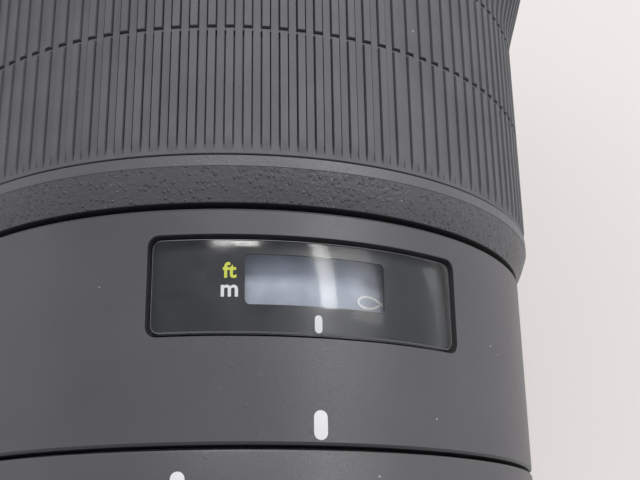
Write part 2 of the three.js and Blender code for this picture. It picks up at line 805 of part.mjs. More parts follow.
function makeFrontGroup() {
  const top = frontEnd - filterDepth - fitGap
  const rim = top - 13.2
  const back = frontCellBack
  const corners = [
    [frontCellRadius, top],
    [frontCellRadius, coneEnd + 2 * fitGap],
    [frontCellBore, coneStart + 2 * fitGap],
    [frontCellBore, back],
    [thirdGlass - seatStep, back],
    ...seat(thirdGlass, back + 1.5),
    [thirdGlass + fitGap, back + 8],
    [secondGlass - seatStep, back + 10],
    ...seat(secondGlass, back + 11.5),
    [secondGlass + fitGap, back + 17],
    [glassRadius - seatStep, coneEnd - fitGap],
    ...seat(glassRadius, rim - fitGap),
    [glassRadius + fitGap, top],
  ]
  add(barrel, 'front_cell', ringOf(corners), blackPaint())
  add(barrel, 'front_element', element(glassRadius, rim, rim + 4, 4, 8, 3), clearGlass())
  add(barrel, 'second_element', element(secondGlass, back + 11.8, back + 15, 1, 5), clearGlass())
  add(barrel, 'third_element', element(thirdGlass, back + 1.8, back + 5, 0.5, 5), clearGlass())
}

const irisStart = 82
const middleCellStart = irisStart + 8 + fitGap
const middleCellEnd = frontCellBack - 3.5

function makeMiddleGroup() {
  const back = middleCellStart
  const corners = [
    [cellRadius, middleCellEnd],
    [cellRadius, back],
    [fifthGlass - seatStep, back],
    ...seat(fifthGlass, back + 1.2),
    [fifthGlass + fitGap, back + 7],
    [fourthGlass - seatStep, back + 9],
    ...seat(fourthGlass, back + 10),
    [fourthGlass + fitGap, middleCellEnd],
  ]
  add(barrel, 'middle_cell', ringOf(corners), blackPaint())
  add(barrel, 'fifth_element', element(fifthGlass, back + 1.5, back + 4.5, 0, 3.5), clearGlass())
  add(barrel, 'fourth_element', element(fourthGlass, back + 10.3, back + 16.5, 3, -1.5), clearGlass())
}

const rearCellStart = 8
const rearCellEnd = 46
const rearCellWall = 3

function makeRearGroup() {
  const start = rearCellStart
  const innerStart = innerBarrelStart
  const corners = [
    [cellRadius, rearCellEnd],
    [cellRadius, innerStart],
    [rearGlass + rearCellWall, innerStart - 2],
    [rearGlass + rearCellWall, start + 10],
    [ninthGlass + 1.5, start + 7],
    [ninthGlass + 1.5, start],
    [lastGlass - seatStep, start],
    ...seat(lastGlass, start + 1),
    [lastGlass + fitGap, start + 6],
    [ninthGlass - seatStep, start + 9],
    ...seat(ninthGlass, start + 10),
    [ninthGlass + fitGap, start + 17],
    [rearGlass - seatStep, start + 20],
    ...seat(rearGlass, start + 22),
    [rearGlass + fitGap, rearCellEnd],
  ]
  add(barrel, 'rear_cell', ringOf(corners), blackPaint())
  add(barrel, 'eighth_element', element(rearGlass, start + 22.3, start + 28, -1, 3), clearGlass())
  add(barrel, 'ninth_element', element(ninthGlass, start + 10.3, start + 15, 0, 2.5), clearGlass())
  add(barrel, 'rear_element', element(lastGlass, start + 1.3, start + 5, 1, 1.5), clearGlass())
}

makeFrontGroup()
makeMiddleGroup()
makeRearGroup()

// ---- inner barrel, cam tube, scale drum and focus cell ----

const followerStart = windowMiddle - 7
const camStart = tongueEnd + 1.4
const camEnd = sleeveStart - 0.8
const camFlangeThickness = 1.8
const focusCellStart = followerStart - 4
const focusCellEnd = followerStart + 16
const slotHalfWidth = followerRadius + runningGap
const slotSteps = 6

const followerAzimuth = (index) => turnOf(index + 0.5, followerCount)

function makeInnerBarrel() {
  let guide = toSolid(tube(innerBore, innerRadius, innerBarrelStart, middleCellEnd, outerSides))
  const path = [0, 1].map((part) => new THREE.Vector2(0, followerStart + focusTravel * part))
  for (let i = 0; i < followerCount; i++) {
    const azimuth = followerAzimuth(i)
    const slot = slotOutline(path, slotHalfWidth)
    guide = guide.subtract(radialPrism(slot, innerRadius, innerBore - 2, innerRadius + 2, azimuth))
  }
  add(barrel, 'inner_barrel', guide, aluminium())
}

// The cam slots climb as they run round the tube, so a turn of the tube moves the cell.
function makeCamTube() {
  const flangeStart = camEnd - camFlangeThickness
  let cam = toSolid(ringOf([
    [innerRadius + runningGap, camStart],
    [camRadius, camStart],
    [camRadius, flangeStart],
    [ringBore - 0.6, flangeStart],
    [ringBore - 0.6, camEnd],
    [innerRadius + runningGap, camEnd],
  ], outerSides))
  const path = Array.from({ length: slotSteps + 1 }, (unused, i) =>
    new THREE.Vector2((camTurn * camRadius * i) / slotSteps, followerStart + (focusTravel * i) / slotSteps))
  for (let i = 0; i < followerCount; i++) {
    const slot = slotOutline(path, slotHalfWidth)
    cam = cam.subtract(radialPrism(slot, camRadius, innerRadius * 0.8, camRadius * 1.5, followerAzimuth(i)))
  }
  add(barrel, 'cam_tube', cam, brass())
}

function makeScaleDrum() {
  const start = windowMiddle - windowHeight / 2 - 1
  const end = camEnd - camFlangeThickness - fitGap
  add(barrel, 'scale_drum', tube(drumRadius - drumWall, drumRadius, start, end, outerSides), greyPlastic())
}

function makeFocusCell() {
  const start = focusCellStart
  const corners = [
    [cellRadius, focusCellEnd],
    [cellRadius, start],
    [focusGlass - seatStep, start],
    ...seat(focusGlass, start + 1),
    [focusGlass + fitGap, start + 8],
    [focusGlass - seatStep, start + 8.2],
    [focusGlass - seatStep, start + 9],
    [focusGlass + fitGap, start + 9.2],
    [focusGlass + fitGap, focusCellEnd],
  ]
  add(barrel, 'focus_cell', ringOf(corners), aluminium())
  add(barrel, 'seventh_element', element(focusGlass, start + 1.3, start + 6.5, 3, -1), clearGlass())
  add(barrel, 'sixth_element', element(focusGlass, start + 9.5, start + 13, -1.5, 3), clearGlass())
  for (let i = 0; i < followerCount; i++) {
    const root = cellRadius + fitGap
    const rod = radialRod(followerRadius, root, camRadius - 0.1, followerStart, followerAzimuth(i))
    add(barrel, `cam_follower_${i + 1}`, rod, steel())
  }
}

makeInnerBarrel()
makeCamTube()
makeScaleDrum()
makeFocusCell()

// ---- iris ----

const irisPlate = 1.2
const irisWall = 2.4
const irisDepth = 8
const driveThickness = 1.2
const driveInset = 4.2 // from the open aperture's edge to the drive ring
const irisLip = 0.4
const layerPitch = bladeThickness + runningGap
const bladesStart = irisStart + irisPlate + runningGap
const driveStart = bladesStart + bladeLayers * layerPitch

// A flat outline in (radius cos azimuth, radius sin azimuth) made into a plate across the axis.
const axialPlate = (outline, start, end) => {
  const options = { depth: end - start, bevelEnabled: false }
  const plate = new THREE.ExtrudeGeometry(new THREE.Shape(outline), options)
  const place = plate.attributes.position
  for (let i = 0; i < place.count; i++) {
    place.setXYZ(i, place.getY(i), start + place.getZ(i), place.getX(i))
  }
  return toSolid(plate)
}

const polar = (radius, azimuth) =>
  new THREE.Vector2(radius * Math.cos(azimuth), radius * Math.sin(azimuth))

const arcPoints = (radius, from, to, steps) =>
  Array.from({ length: steps + 1 }, (unused, i) => polar(radius, from + ((to - from) * i) / steps))

const pivotRadius = cellRadius - irisWall - 4
const irisOpenRadius = pivotRadius - bladeReach
const actuatorRadius = pivotRadius - actuatorStep
const pivot = polar(pivotRadius, 0)
const actuator = polar(actuatorRadius, actuatorAzimuth)

// Where the actuating pin stands when the blade has swung in by an angle.
const actuatorAt = (swing) => actuator.clone().rotateAround(pivot, swing)

function bladeOutline() {
  const bandOuter = irisOpenRadius + bladeWidth
  const earTop = pivotRadius + 1.9
  const earHalf = 1.8 / pivotRadius
  const earEnd = actuatorAzimuth + earHalf
  return [
    ...arcPoints(irisOpenRadius, -earHalf, bladeSpan, 7),
    polar(irisOpenRadius + bladeWidth * 0.4, bladeSpan + 0.06),
    ...arcPoints(bandOuter, bladeSpan, earEnd + 0.06, 6),
    polar(earTop - 0.6, earEnd),
    polar(earTop, earEnd - 0.04),
    polar(earTop, 0),
    polar(earTop - 0.7, -earHalf),
  ]
}

function makeBlades() {
  for (let i = 0; i < bladeCount; i++) {
    const start = bladesStart + (i % bladeLayers) * layerPitch
    const end = start + bladeThickness
    const pivotPin = axialRod(bladePinRadius, irisStart + 0.2, end - 0.05, pivot.y, pivot.x, 6)
    const pinEnd = driveStart + driveThickness
    const drivePin = axialRod(bladePinRadius, start + 0.05, pinEnd, actuator.y, actuator.x, 6)
    const blade = axialPlate(bladeOutline(), start, end).add(toSolid(pivotPin)).add(toSolid(drivePin))
    const turned = new THREE.Group()
    turned.rotation.y = turnOf(i, bladeCount)
    barrel.add(turned)
    add(turned, `iris_blade_${i + 1}`, blade, finish(0x2a2a2c, 0.5, 0.6))
  }
}

function makeIris() {
  let housing = toSolid(ringOf([
    [irisOpenRadius - irisLip, irisStart],
    [cellRadius, irisStart],
    [cellRadius, irisStart + irisDepth],
    [cellRadius - irisWall, irisStart + irisDepth],
    [cellRadius - irisWall, irisStart + irisPlate],
    [irisOpenRadius - irisLip, irisStart + irisPlate],
  ], outerSides))
  const driveEnd = driveStart + driveThickness
  const driveInner = irisOpenRadius + driveInset
  const driveOuter = cellRadius - irisWall - runningGap
  let drive = toSolid(tube(driveInner, driveOuter, driveStart, driveEnd, outerSides))
  const steps = 3
  const path = Array.from({ length: steps + 1 }, (unused, i) =>
    actuatorAt((bladeSwing * i) / steps).rotateAround(new THREE.Vector2(), (-driveTurn * i) / steps))
  const holeRadius = bladePinRadius + runningGap
  const hole = toSolid(axialRod(holeRadius, irisStart - 1, bladesStart, pivot.y, pivot.x, 8))
  const slot = axialPlate(slotOutline(path, bladePinRadius + runningGap), driveStart - 1, driveEnd + 1)
  for (let i = 0; i < bladeCount; i++) {
    const turn = [0, (i * 360) / bladeCount, 0]
    housing = housing.subtract(hole.rotate(turn))
    drive = drive.subtract(slot.rotate(turn))
  }
  add(barrel, 'iris_housing', housing, blackPaint())
  add(barrel, 'iris_drive_ring', drive, steel())
}

makeIris()
makeBlades()

// ---- focus motor and circuit board ----

const motorStart = 88
const statorLength = 8
const rotorLength = 4.5
const boardThickness = 1.2
const boardGapAngle = 100

function makeMotor() {
  const inner = innerRadius + fitGap
  const outer = frontCellBore
  const rotorStart = motorStart + statorLength + fitGap
  add(barrel, 'motor_stator', tube(inner, outer, motorStart, motorStart + statorLength, outerSides), brass())
  add(barrel, 'motor_rotor', tube(inner, outer, rotorStart, rotorStart + rotorLength, outerSides), steel())
}

function makeBoard() {
  const from = THREE.MathUtils.degToRad(boardGapAngle / 2)
  const to = 2 * Math.PI - from
  const start = collarStart + 4
  const outer = seatRadius - seatWall - fitGap
  const inner = rearGlass + rearCellWall + fitGap
  const outline = [...arcPoints(outer, from, to, 20), ...arcPoints(inner, to, from, 20)]
  add(barrel, 'circuit_board', axialPlate(outline, start, start + boardThickness), boardGreen())
}

makeMotor()
makeBoard()

export default model
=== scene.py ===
import json
import math

import bmesh
import bpy
from mathutils import Matrix, Vector


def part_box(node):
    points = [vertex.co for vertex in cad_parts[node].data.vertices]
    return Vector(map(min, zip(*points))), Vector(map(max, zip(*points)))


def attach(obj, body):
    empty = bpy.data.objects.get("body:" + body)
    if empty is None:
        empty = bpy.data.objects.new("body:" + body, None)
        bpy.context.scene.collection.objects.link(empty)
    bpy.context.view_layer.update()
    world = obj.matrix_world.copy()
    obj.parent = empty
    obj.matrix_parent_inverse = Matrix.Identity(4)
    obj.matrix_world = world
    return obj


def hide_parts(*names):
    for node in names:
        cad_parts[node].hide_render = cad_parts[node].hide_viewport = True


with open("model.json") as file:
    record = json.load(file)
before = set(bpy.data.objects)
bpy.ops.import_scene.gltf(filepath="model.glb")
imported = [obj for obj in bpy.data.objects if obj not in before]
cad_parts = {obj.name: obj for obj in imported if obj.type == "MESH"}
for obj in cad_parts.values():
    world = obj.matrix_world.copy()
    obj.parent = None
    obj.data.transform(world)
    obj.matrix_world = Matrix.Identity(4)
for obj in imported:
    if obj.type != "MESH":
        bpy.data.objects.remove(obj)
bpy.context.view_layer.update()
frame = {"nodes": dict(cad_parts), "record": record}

mm = 0.001
scene = bpy.context.scene
scene.view_settings.view_transform = "Standard"
arcRadius = 49.0  # lengths round the lens are arcs at this radius
printRise = 0.012  # a print's thickness over the surface below it
barrelStart = 41.6  # from the flange face to the rear of the window barrel
fineSides = 288
sharpAngle = 32

# Everything on the lens is placed by azimuth, radius and distance from the bayonet's flange face.
def middleOf(node):
    low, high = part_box(node)
    return (low + high) / 2


def meanAzimuth(node):
    centre = middleOf("front_barrel")
    spots = [v.co for v in frame["nodes"][node].data.vertices]
    return math.atan2(sum(p.x - centre.x for p in spots), sum(p.z - centre.z for p in spots))


lensAxis = middleOf("front_barrel")
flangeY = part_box("window_barrel")[0].y / mm - barrelStart
barrelTurn = meanAzimuth("window_pane")


def ends(node):
    low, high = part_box(node)
    return low.y / mm - flangeY, high.y / mm - flangeY


def place(angle, radius, y):
    x = lensAxis.x + radius * math.sin(angle) * mm
    z = lensAxis.z + radius * math.cos(angle) * mm
    return Vector((x, (y + flangeY) * mm, z))


# The way back: azimuth on the barrel, radius, and distance from the flange face.
def whereIs(point):
    across, up = point.x - lensAxis.x, point.z - lensAxis.z
    return math.atan2(across, up) - barrelTurn, math.hypot(across, up) / mm, point.y / mm - flangeY


def barrelAngle(azimuth):
    return barrelTurn + math.radians(azimuth)


def build(name, points, faces, material, sharp=sharpAngle):
    mesh = bpy.data.meshes.new(name)
    mesh.from_pydata([tuple(p) for p in points], [], faces)
    work = bmesh.new()
    work.from_mesh(mesh)
    bmesh.ops.remove_doubles(work, verts=work.verts, dist=2e-7)
    bmesh.ops.dissolve_degenerate(work, edges=work.edges, dist=1e-7)
    bmesh.ops.recalc_face_normals(work, faces=work.faces)
    work.to_mesh(mesh)
    work.free()
    mesh.materials.append(material)
    mesh.shade_smooth()
    mesh.set_sharp_from_angle(angle=math.radians(sharp))
    item = bpy.data.objects.new(name, mesh)
    scene.collection.objects.link(item)
    return item


# A section outline whose corners are eased, so that the edges catch the light.
def eased(section, size, steps=2):
    made = []
    count = len(section)
    for i in range(count):
        here = Vector(section[i])
        back = Vector(section[i - 1]) - here
        ahead = Vector(section[(i + 1) % count]) - here
        bend = math.pi - back.angle(ahead) if back.length and ahead.length else 0
        reach = min(size, back.length * 0.4, ahead.length * 0.4)
        if bend < math.radians(12) or reach < 0.01:
            made.append(tuple(here))
            continue
        first = here + back.normalized() * reach
        last = here + ahead.normalized() * reach
        for k in range(steps + 1):
            t = k / steps
            made.append(tuple(first * (1 - t) ** 2 + here * 2 * t * (1 - t) + last * t * t))
    return made


def spinMesh(section, sides=fineSides):
    points, faces = [], []
    count = len(section)
    for i in range(sides):
        angle = barrelTurn + 2 * math.pi * i / sides
        points += [place(angle, r, y) for r, y in section]
        j = (i + 1) % sides
        for k in range(count):
            m = (k + 1) % count
            faces.append((i * count + k, j * count + k, j * count + m, i * count + m))
    return points, faces


# Side faces and both ends of a stack of closed rings.
def stackFaces(layers, sides):
    faces = []
    for layer in range(layers - 1):
        a, b = layer * sides, (layer + 1) * sides
        faces += [(a + i, a + (i + 1) % sides, b + (i + 1) % sides, b + i) for i in range(sides)]
    last = (layers - 1) * sides
    return faces + [tuple(reversed(range(sides))), tuple(range(last, last + sides))]


def spin(name, section, material, sides=fineSides, sharp=sharpAngle):
    points, faces = spinMesh(section, sides)
    return build(name, points, faces, material, sharp)


# The half outline of a rounded patch, as (arc length, half height) columns.
def slabColumns(width, height, corner, straight):
    columns = []
    for i in range(7):
        t = math.pi / 2 * i / 6
        arc = -width / 2 + corner * (1 - math.cos(t))
        columns.append((arc, height / 2 - corner * (1 - math.sin(t))))
    flat = width - 2 * corner
    inner = [(-flat / 2 + flat * i / straight, height / 2) for i in range(1, straight)]
    return columns + inner + [(-arc, half) for arc, half in reversed(columns)]


# A patch bent round the axis. Each layer is (inset, radius), from the inside out.
def slabMesh(width, height, corner, layers, azimuth, y):
    straight = max(2, round(width / 0.8))
    points, faces = [], []
    angle = barrelAngle(azimuth)
    for inset, radius in layers:
        rounding = max(corner - inset, 0.02)
        columns = slabColumns(width - 2 * inset, height - 2 * inset, rounding, straight)
        loop = [(arc, -half) for arc, half in columns] + [(arc, half) for arc, half in reversed(columns)]
        points += [place(angle + arc / arcRadius, radius, y + rise) for arc, rise in loop]
    count = len(points) // len(layers)
    for layer in range(len(layers) - 1):
        a, b = layer * count, (layer + 1) * count
        for k in range(count):
            m = (k + 1) % count
            faces.append((a + k, a + m, b + m, b + k))
    top = (len(layers) - 1) * count
    for k in range(count // 2 - 1):
        far = count - 1 - k
        faces.append((k, far, far - 1, k + 1))
        faces.append((top + k, top + k + 1, top + far - 1, top + far))
    return points, faces


def slab(name, width, height, corner, layers, azimuth, y, material):
    points, faces = slabMesh(width, height, corner, layers, azimuth, y)
    return build(name, points, faces, material)


# A printed bar with round ends, standing a little off the surface at a radius.
def printedBar(name, width, length, radius, azimuth, y):
    layers = [(0, radius - 0.2), (0, radius + printRise), (0.05, radius + 0.02)]
    return slab(name, width, length, width / 2 - 0.02, layers, azimuth, y, whitePrint)


# Makes a piece's modifiers part of its mesh.
def settle(item, sharp=sharpAngle):
    bpy.context.view_layer.update()
    shape = bpy.data.meshes.new_from_object(item.evaluated_get(bpy.context.evaluated_depsgraph_get()))
    item.modifiers.clear()
    item.data = shape
    shape.shade_smooth()
    shape.set_sharp_from_angle(angle=math.radians(sharp))


# Cuts one piece with another, which is then thrown away.
def carve(item, cutter):
    tool = item.modifiers.new("cut", "BOOLEAN")
    tool.operation = "DIFFERENCE"
    tool.solver = "EXACT"
    tool.object = cutter
    settle(item)
    bpy.data.objects.remove(cutter)


def fuse(name, parts, material, sharp=sharpAngle):
    points, faces = [], []
    for somePoints, someFaces in parts:
        base = len(points)
        points += somePoints
        faces += [tuple(base + k for k in face) for face in someFaces]
    return build(name, points, faces, material, sharp)


def fit(item, body, slot, *nodes):
    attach(item, body)
    if nodes:
        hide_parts(*nodes)
    return item


def newMaterial(name, **values):
    material = bpy.data.materials.new(name)
    material.use_nodes = True
    shader = material.node_tree.nodes["Principled BSDF"]
    for label, value in values.items():
        shader.inputs[label.replace("_", " ")].default_value = value
    return material, material.node_tree, shader


def addNode(tree, kind, **values):
    node = tree.nodes.new(kind)
    for label, value in values.items():
        if hasattr(node, label):
            setattr(node, label, value)
        else:
            node.inputs[label.replace("_", " ")].default_value = value
    return node


def noiseOf(tree, scale, detail=2.0, rough=0.5, stretch=None):
    spot = addNode(tree, "ShaderNodeTexCoord")
    noise = addNode(tree, "ShaderNodeTexNoise", Scale=scale, Detail=detail, Roughness=rough)
    if stretch:
        mapping = addNode(tree, "ShaderNodeMapping")
        mapping.inputs["Scale"].default_value = stretch
        tree.links.new(spot.outputs["Object"], mapping.inputs["Vector"])
        tree.links.new(mapping.outputs["Vector"], noise.inputs["Vector"])
    else:
        tree.links.new(spot.outputs["Object"], noise.inputs["Vector"])
    return noise.outputs["Fac"]


def specksOf(tree, scale, size, share):
    spot = addNode(tree, "ShaderNodeTexCoord")
    cells = addNode(tree, "ShaderNodeTexVoronoi", Scale=scale)
    tree.links.new(spot.outputs["Object"], cells.inputs["Vector"])
    near = addNode(tree, "ShaderNodeMapRange", From_Min=size, From_Max=size * 0.6)
    tree.links.new(cells.outputs["Distance"], near.inputs["Value"])
    split = addNode(tree, "ShaderNodeSeparateColor")
    tree.links.new(cells.outputs["Color"], split.inputs["Color"])
    some = addNode(tree, "ShaderNodeMath", operation="LESS_THAN")
    some.inputs[1].default_value = share
    tree.links.new(split.outputs["Red"], some.inputs[0])
    both = addNode(tree, "ShaderNodeMath", operation="MULTIPLY")
    tree.links.new(near.outputs["Result"], both.inputs[0])
    tree.links.new(some.outputs["Value"], both.inputs[1])
    return both.outputs["Value"]


def ramp(tree, source, low, high, start=0.35, end=0.65):
    spread = addNode(tree, "ShaderNodeMapRange", From_Min=start, From_Max=end, To_Min=low, To_Max=high)
    tree.links.new(source, spread.inputs["Value"])
    return spread.outputs["Result"]


def blendColour(tree, share, first, second):
    mix = addNode(tree, "ShaderNodeMix", data_type="RGBA")
    tree.links.new(share, mix.inputs["Factor"])
    for value, index in ((first, 6), (second, 7)):
        if isinstance(value, tuple):
            mix.inputs[index].default_value = (*value, 1)
        else:
            tree.links.new(value, mix.inputs[index])
    return mix.outputs[2]


def bumpOf(tree, height, strength, distance, under=None):
    bump = addNode(tree, "ShaderNodeBump", Strength=strength, Distance=distance)
    tree.links.new(height, bump.inputs["Height"])
    if under:
        tree.links.new(under, bump.inputs["Normal"])
    return bump.outputs["Normal"]


# A sprayed or moulded surface: mottled colour, fine grain in the gloss, and a few specks of dust, which on the
# window pane's edge are bright painted glints instead.
def grained(name, look):
    material, tree, shader = newMaterial(name, Metallic=look.get("metal", 0.0))
    base = look["colour"]
    dark = tuple(c * (1 - look["mottle"]) for c in base)
    light = tuple(min(1, c * (1 + look["mottle"])) for c in base)
    colour = blendColour(tree, ramp(tree, noiseOf(tree, look["patch"], 4), 0, 1), dark, light)
    if look.get("dustAndGlints"):
        dustAndGlints = specksOf(tree, look["dustAndGlintScale"], 0.16, look["dustAndGlints"])
        colour = blendColour(tree, dustAndGlints, colour, look.get("dustAndGlintColour", (0.42, 0.42, 0.42)))
    tree.links.new(colour, shader.inputs["Base Color"])
    grain = noiseOf(tree, look["grain"], 3, 0.6)
    rough = ramp(tree, grain, look["rough"] - look["roughSpread"], look["rough"] + look["roughSpread"])
    tree.links.new(rough, shader.inputs["Roughness"])
    shade = bumpOf(tree, grain, look["bump"], look["depth"])
    if look.get("pits"):
        pits = specksOf(tree, look["pitScale"], look.get("pitSize", 0.3), look["pits"])
        shade = bumpOf(tree, pits, look["pitBump"], look["pitDepth"], shade)
    tree.links.new(shade, shader.inputs["Normal"])
    return material


paintLook = dict(colour=(0.086, 0.085, 0.090), mottle=0.06, patch=55, rough=0.43, roughSpread=0.06,
                 grain=3600, bump=0.35, depth=0.00006, dustAndGlints=0.012, dustAndGlintScale=900,
                 pits=0.10, pitScale=620, pitSize=0.28, pitBump=0.25, pitDepth=0.00005)
bandLook = dict(paintLook, colour=(0.118, 0.118, 0.124), grain=2400, bump=0.6, depth=0.0001)
coneLook = dict(paintLook, colour=(0.095, 0.095, 0.1), rough=0.40, grain=1500, bump=1.0, depth=0.00022,
                dustAndGlints=0.04, dustAndGlintScale=1500, pits=0.75, pitScale=1300, pitSize=0.36, pitBump=0.9, pitDepth=0.0002)
rubberLook = dict(colour=(0.118, 0.118, 0.124), mottle=0.07, patch=160, rough=0.66, roughSpread=0.08,
                  grain=5200, bump=0.3, depth=0.00005, dustAndGlints=0.02, dustAndGlintScale=700)
# near-black rubber: the mount's real seal, and painted shade in the window's walls, the gap between window barrel
# and focus ring, and the grip's moat floors
sealAndShadeLook = dict(rubberLook, colour=(0.03, 0.03, 0.032), dustAndGlints=0.004)
plasticLook = dict(paintLook, colour=(0.022, 0.022, 0.024), rough=0.42, dustAndGlints=0.004, pits=0)
drumLook = dict(colour=(0.46, 0.50, 0.57), mottle=0.1, patch=420, rough=0.6, roughSpread=0.08,
                grain=2600, bump=0.25, depth=0.00005)
aluminiumLook = dict(colour=(0.48, 0.49, 0.5), metal=1.0, mottle=0.06, patch=90, rough=0.36, roughSpread=0.08,
                     grain=1800, bump=0.12, depth=0.00003)
steelLook = dict(aluminiumLook, colour=(0.5, 0.5, 0.51), rough=0.3)
brassLook = dict(aluminiumLook, colour=(0.62, 0.46, 0.19), rough=0.33)
chromeLook = dict(aluminiumLook, colour=(0.72, 0.72, 0.73), rough=0.2, roughSpread=0.05)
bladeLook = dict(aluminiumLook, colour=(0.045, 0.045, 0.05), metal=0.7, rough=0.4)
boardLook = dict(colour=(0.015, 0.1, 0.045), mottle=0.15, patch=300, rough=0.45, roughSpread=0.05,
                 grain=1500, bump=0.1, depth=0.00003)
goldLook = dict(aluminiumLook, colour=(0.86, 0.62, 0.26), rough=0.25)
whiteLook = dict(paintLook, colour=(0.83, 0.83, 0.82), mottle=0.04, dustAndGlints=0, pits=0, rough=0.5)
yellowLook = dict(whiteLook, colour=(0.72, 0.76, 0.06), mottle=0.05)
# The window pane's bevelled edge: its light grey is a painted highlight, and its many near-white specks are painted
# glints.
paneEdgeHighlightLook = dict(paintLook, colour=(0.46, 0.47, 0.49), rough=0.2, roughSpread=0.05,
                    dustAndGlints=0.4, dustAndGlintScale=2000, dustAndGlintColour=(0.95, 0.95, 0.95), pits=0)

barrelPaint = grained("barrelPaint", paintLook)
bandPaint = grained("bandPaint", bandLook)
conePaint = grained("conePaint", coneLook)
gripRubber = grained("gripRubber", rubberLook)
sealRubberAndShade = grained("sealRubberAndShade", sealAndShadeLook)
blackPlastic = grained("blackPlastic", plasticLook)
drumPaint = grained("drumPaint", drumLook)
aluminium = grained("aluminium", aluminiumLook)
steel = grained("steel", steelLook)
brass = grained("brass", brassLook)
chromedBrass = grained("chromedBrass", chromeLook)
bladeSteel = grained("bladeSteel", bladeLook)
boardGreen = grained("boardGreen", boardLook)
goldPlate = grained("goldPlate", goldLook)
whitePrint = grained("whitePrint", whiteLook)
yellowPrint = grained("yellowPrint", yellowLook)


def glossBlackPaint():
    material, tree, shader = newMaterial("maskGloss", Base_Color=(0.008, 0.009, 0.011, 1), Roughness=0.12)
    smear = noiseOf(tree, 240, 4)
    tree.links.new(ramp(tree, smear, 0.3, 0.42), shader.inputs["Roughness"])
    return material


paneLook = dict(tint=(0.97, 0.98, 0.985), mirror=(1, 1, 1), straight=0.025, rough=(0.07, 0.14), smear=300,
                haze=0.008, film=(0.8, 0.84, 0.9), hairWidth=0.01,
                hairs=((330, (1, 2.2, 1)), (410, (2.6, 1, 1)), (260, (1.5, 1.2, 2))))
paneUnderLook = dict(tint=(0.99, 0.99, 0.99), mirror=(1, 1, 1), straight=0.002, rough=(0.1, 0.2), smear=300)
coatedLook = dict(tint=(0.93, 0.95, 0.95), mirror=(0.35, 0.95, 0.62), straight=0.014, rough=(0.01, 0.03), smear=60)
innerLook = dict(tint=(0.93, 0.94, 0.96), mirror=(0.6, 0.45, 1.0), straight=0.005, rough=(0.01, 0.02), smear=60)
glancing = 4.5  # how late the reflection rises toward grazing light


def mathNode(tree, operation, first, second=None):
    node = addNode(tree, "ShaderNodeMath", operation=operation)
    tree.links.new(first, node.inputs[0])
    if isinstance(second, (int, float)):
        node.inputs[1].default_value = second
    elif second:
        tree.links.new(second, node.inputs[1])
    return node.outputs["Value"]


def mixShader(tree, share, first, second):
    mix = addNode(tree, "ShaderNodeMixShader")
    tree.links.new(share, mix.inputs["Fac"])
    tree.links.new(first, mix.inputs[1])
    tree.links.new(second, mix.inputs[2])
    return mix.outputs["Shader"]


# Wiping marks and hair scratches that scatter a little light.
def hazeOf(tree, look):
    haze = look["haze"]
    total = ramp(tree, noiseOf(tree, 900, 8, 0.75), haze * 0.3, haze, 0.35, 0.7)
    for scale, stretch in look["hairs"]:
        away = mathNode(tree, "SUBTRACT", noiseOf(tree, scale, 2, 0.5, stretch), 0.5)
        hair = ramp(tree, mathNode(tree, "ABSOLUTE", away), haze * 1.6, 0, 0, look["hairWidth"])
        total = mathNode(tree, "ADD", total, hair)
    return total


# Thin glass: see-through, with the mirror share that its angle gives, the same from inside and outside.
def thinGlass(name, look):
    material, tree, shader = newMaterial(name)
    tree.nodes.remove(shader)
    clear = addNode(tree, "ShaderNodeBsdfTransparent", Color=(*look["tint"], 1))
    mirror = addNode(tree, "ShaderNodeBsdfGlossy", Color=(*look["mirror"], 1))
    tree.links.new(ramp(tree, noiseOf(tree, look["smear"], 5), *look["rough"]), mirror.inputs["Roughness"])
    slope = addNode(tree, "ShaderNodeLayerWeight", Blend=0.5)
    steep = mathNode(tree, "POWER", slope.outputs["Facing"], glancing)
    share = ramp(tree, steep, look["straight"], 1, 0, 1)
    shown = mixShader(tree, share, clear.outputs["BSDF"], mirror.outputs["BSDF"])
    if "haze" in look:
        film = addNode(tree, "ShaderNodeBsdfDiffuse", Color=(*look["film"], 1))
        shown = mixShader(tree, hazeOf(tree, look), shown, film.outputs["BSDF"])
    tree.links.new(shown, tree.nodes["Material Output"].inputs["Surface"])
    return material


maskGloss = glossBlackPaint()
paneEdgeHighlight = grained("paneEdgeHighlight", paneEdgeHighlightLook)
paneGlass = thinGlass("paneGlass", paneLook)
paneUnder = thinGlass("paneUnder", paneUnderLook)
coatedGlass = thinGlass("coatedGlass", coatedLook)
innerGlass = thinGlass("innerGlass", innerLook)
print("finishes made")


collarPart = dict(radius=49.0, bore=44.8, edge=0.35, bossRoot=45.5, bossRadius=9.0, bossReach=57.0, bossEdge=0.5,
                  wellRadius=3.4, wellFloor=46.0, wellRim=4.0, padWidth=26.0, padLength=22.0, padDepth=54.5,
                  padRoot=3.5, padEdge=0.6, markWidth=1.8, markLength=3.7, markTop=38.4)
collarRear, collarFront = ends("collar_ring")
collarMiddle = (collarRear + collarFront) / 2


# A round bar toward the clamp's side, from a list of (radius, distance) stations.
def bossMesh(stations, sides=64):
    points = []
    for radius, reach in stations:
        for i in range(sides):
            angle = 2 * math.pi * i / sides
            spot = Vector((-reach, 0, radius * math.cos(angle)))
            points.append(place(0, 0, collarMiddle + radius * math.sin(angle)) + spot * mm)
    return points, stackFaces(len(stations), sides)


# The flat block under the collar that the foot is screwed to.
def padMesh(p):
    half, top, low, edge = p["padWidth"] / 2, p["radius"] - p["padRoot"], p["padDepth"], p["padEdge"]
    outline = [(-half, top), (half, top), (half, low - edge), (half - edge, low),
               (edge - half, low), (-half, low - edge)]
    points = []
    for y in (collarMiddle - p["padLength"] / 2, collarMiddle + p["padLength"] / 2):
        points += [place(0, 0, y) + Vector((x, 0, -depth)) * mm for x, depth in outline]
    return points, stackFaces(2, len(outline))


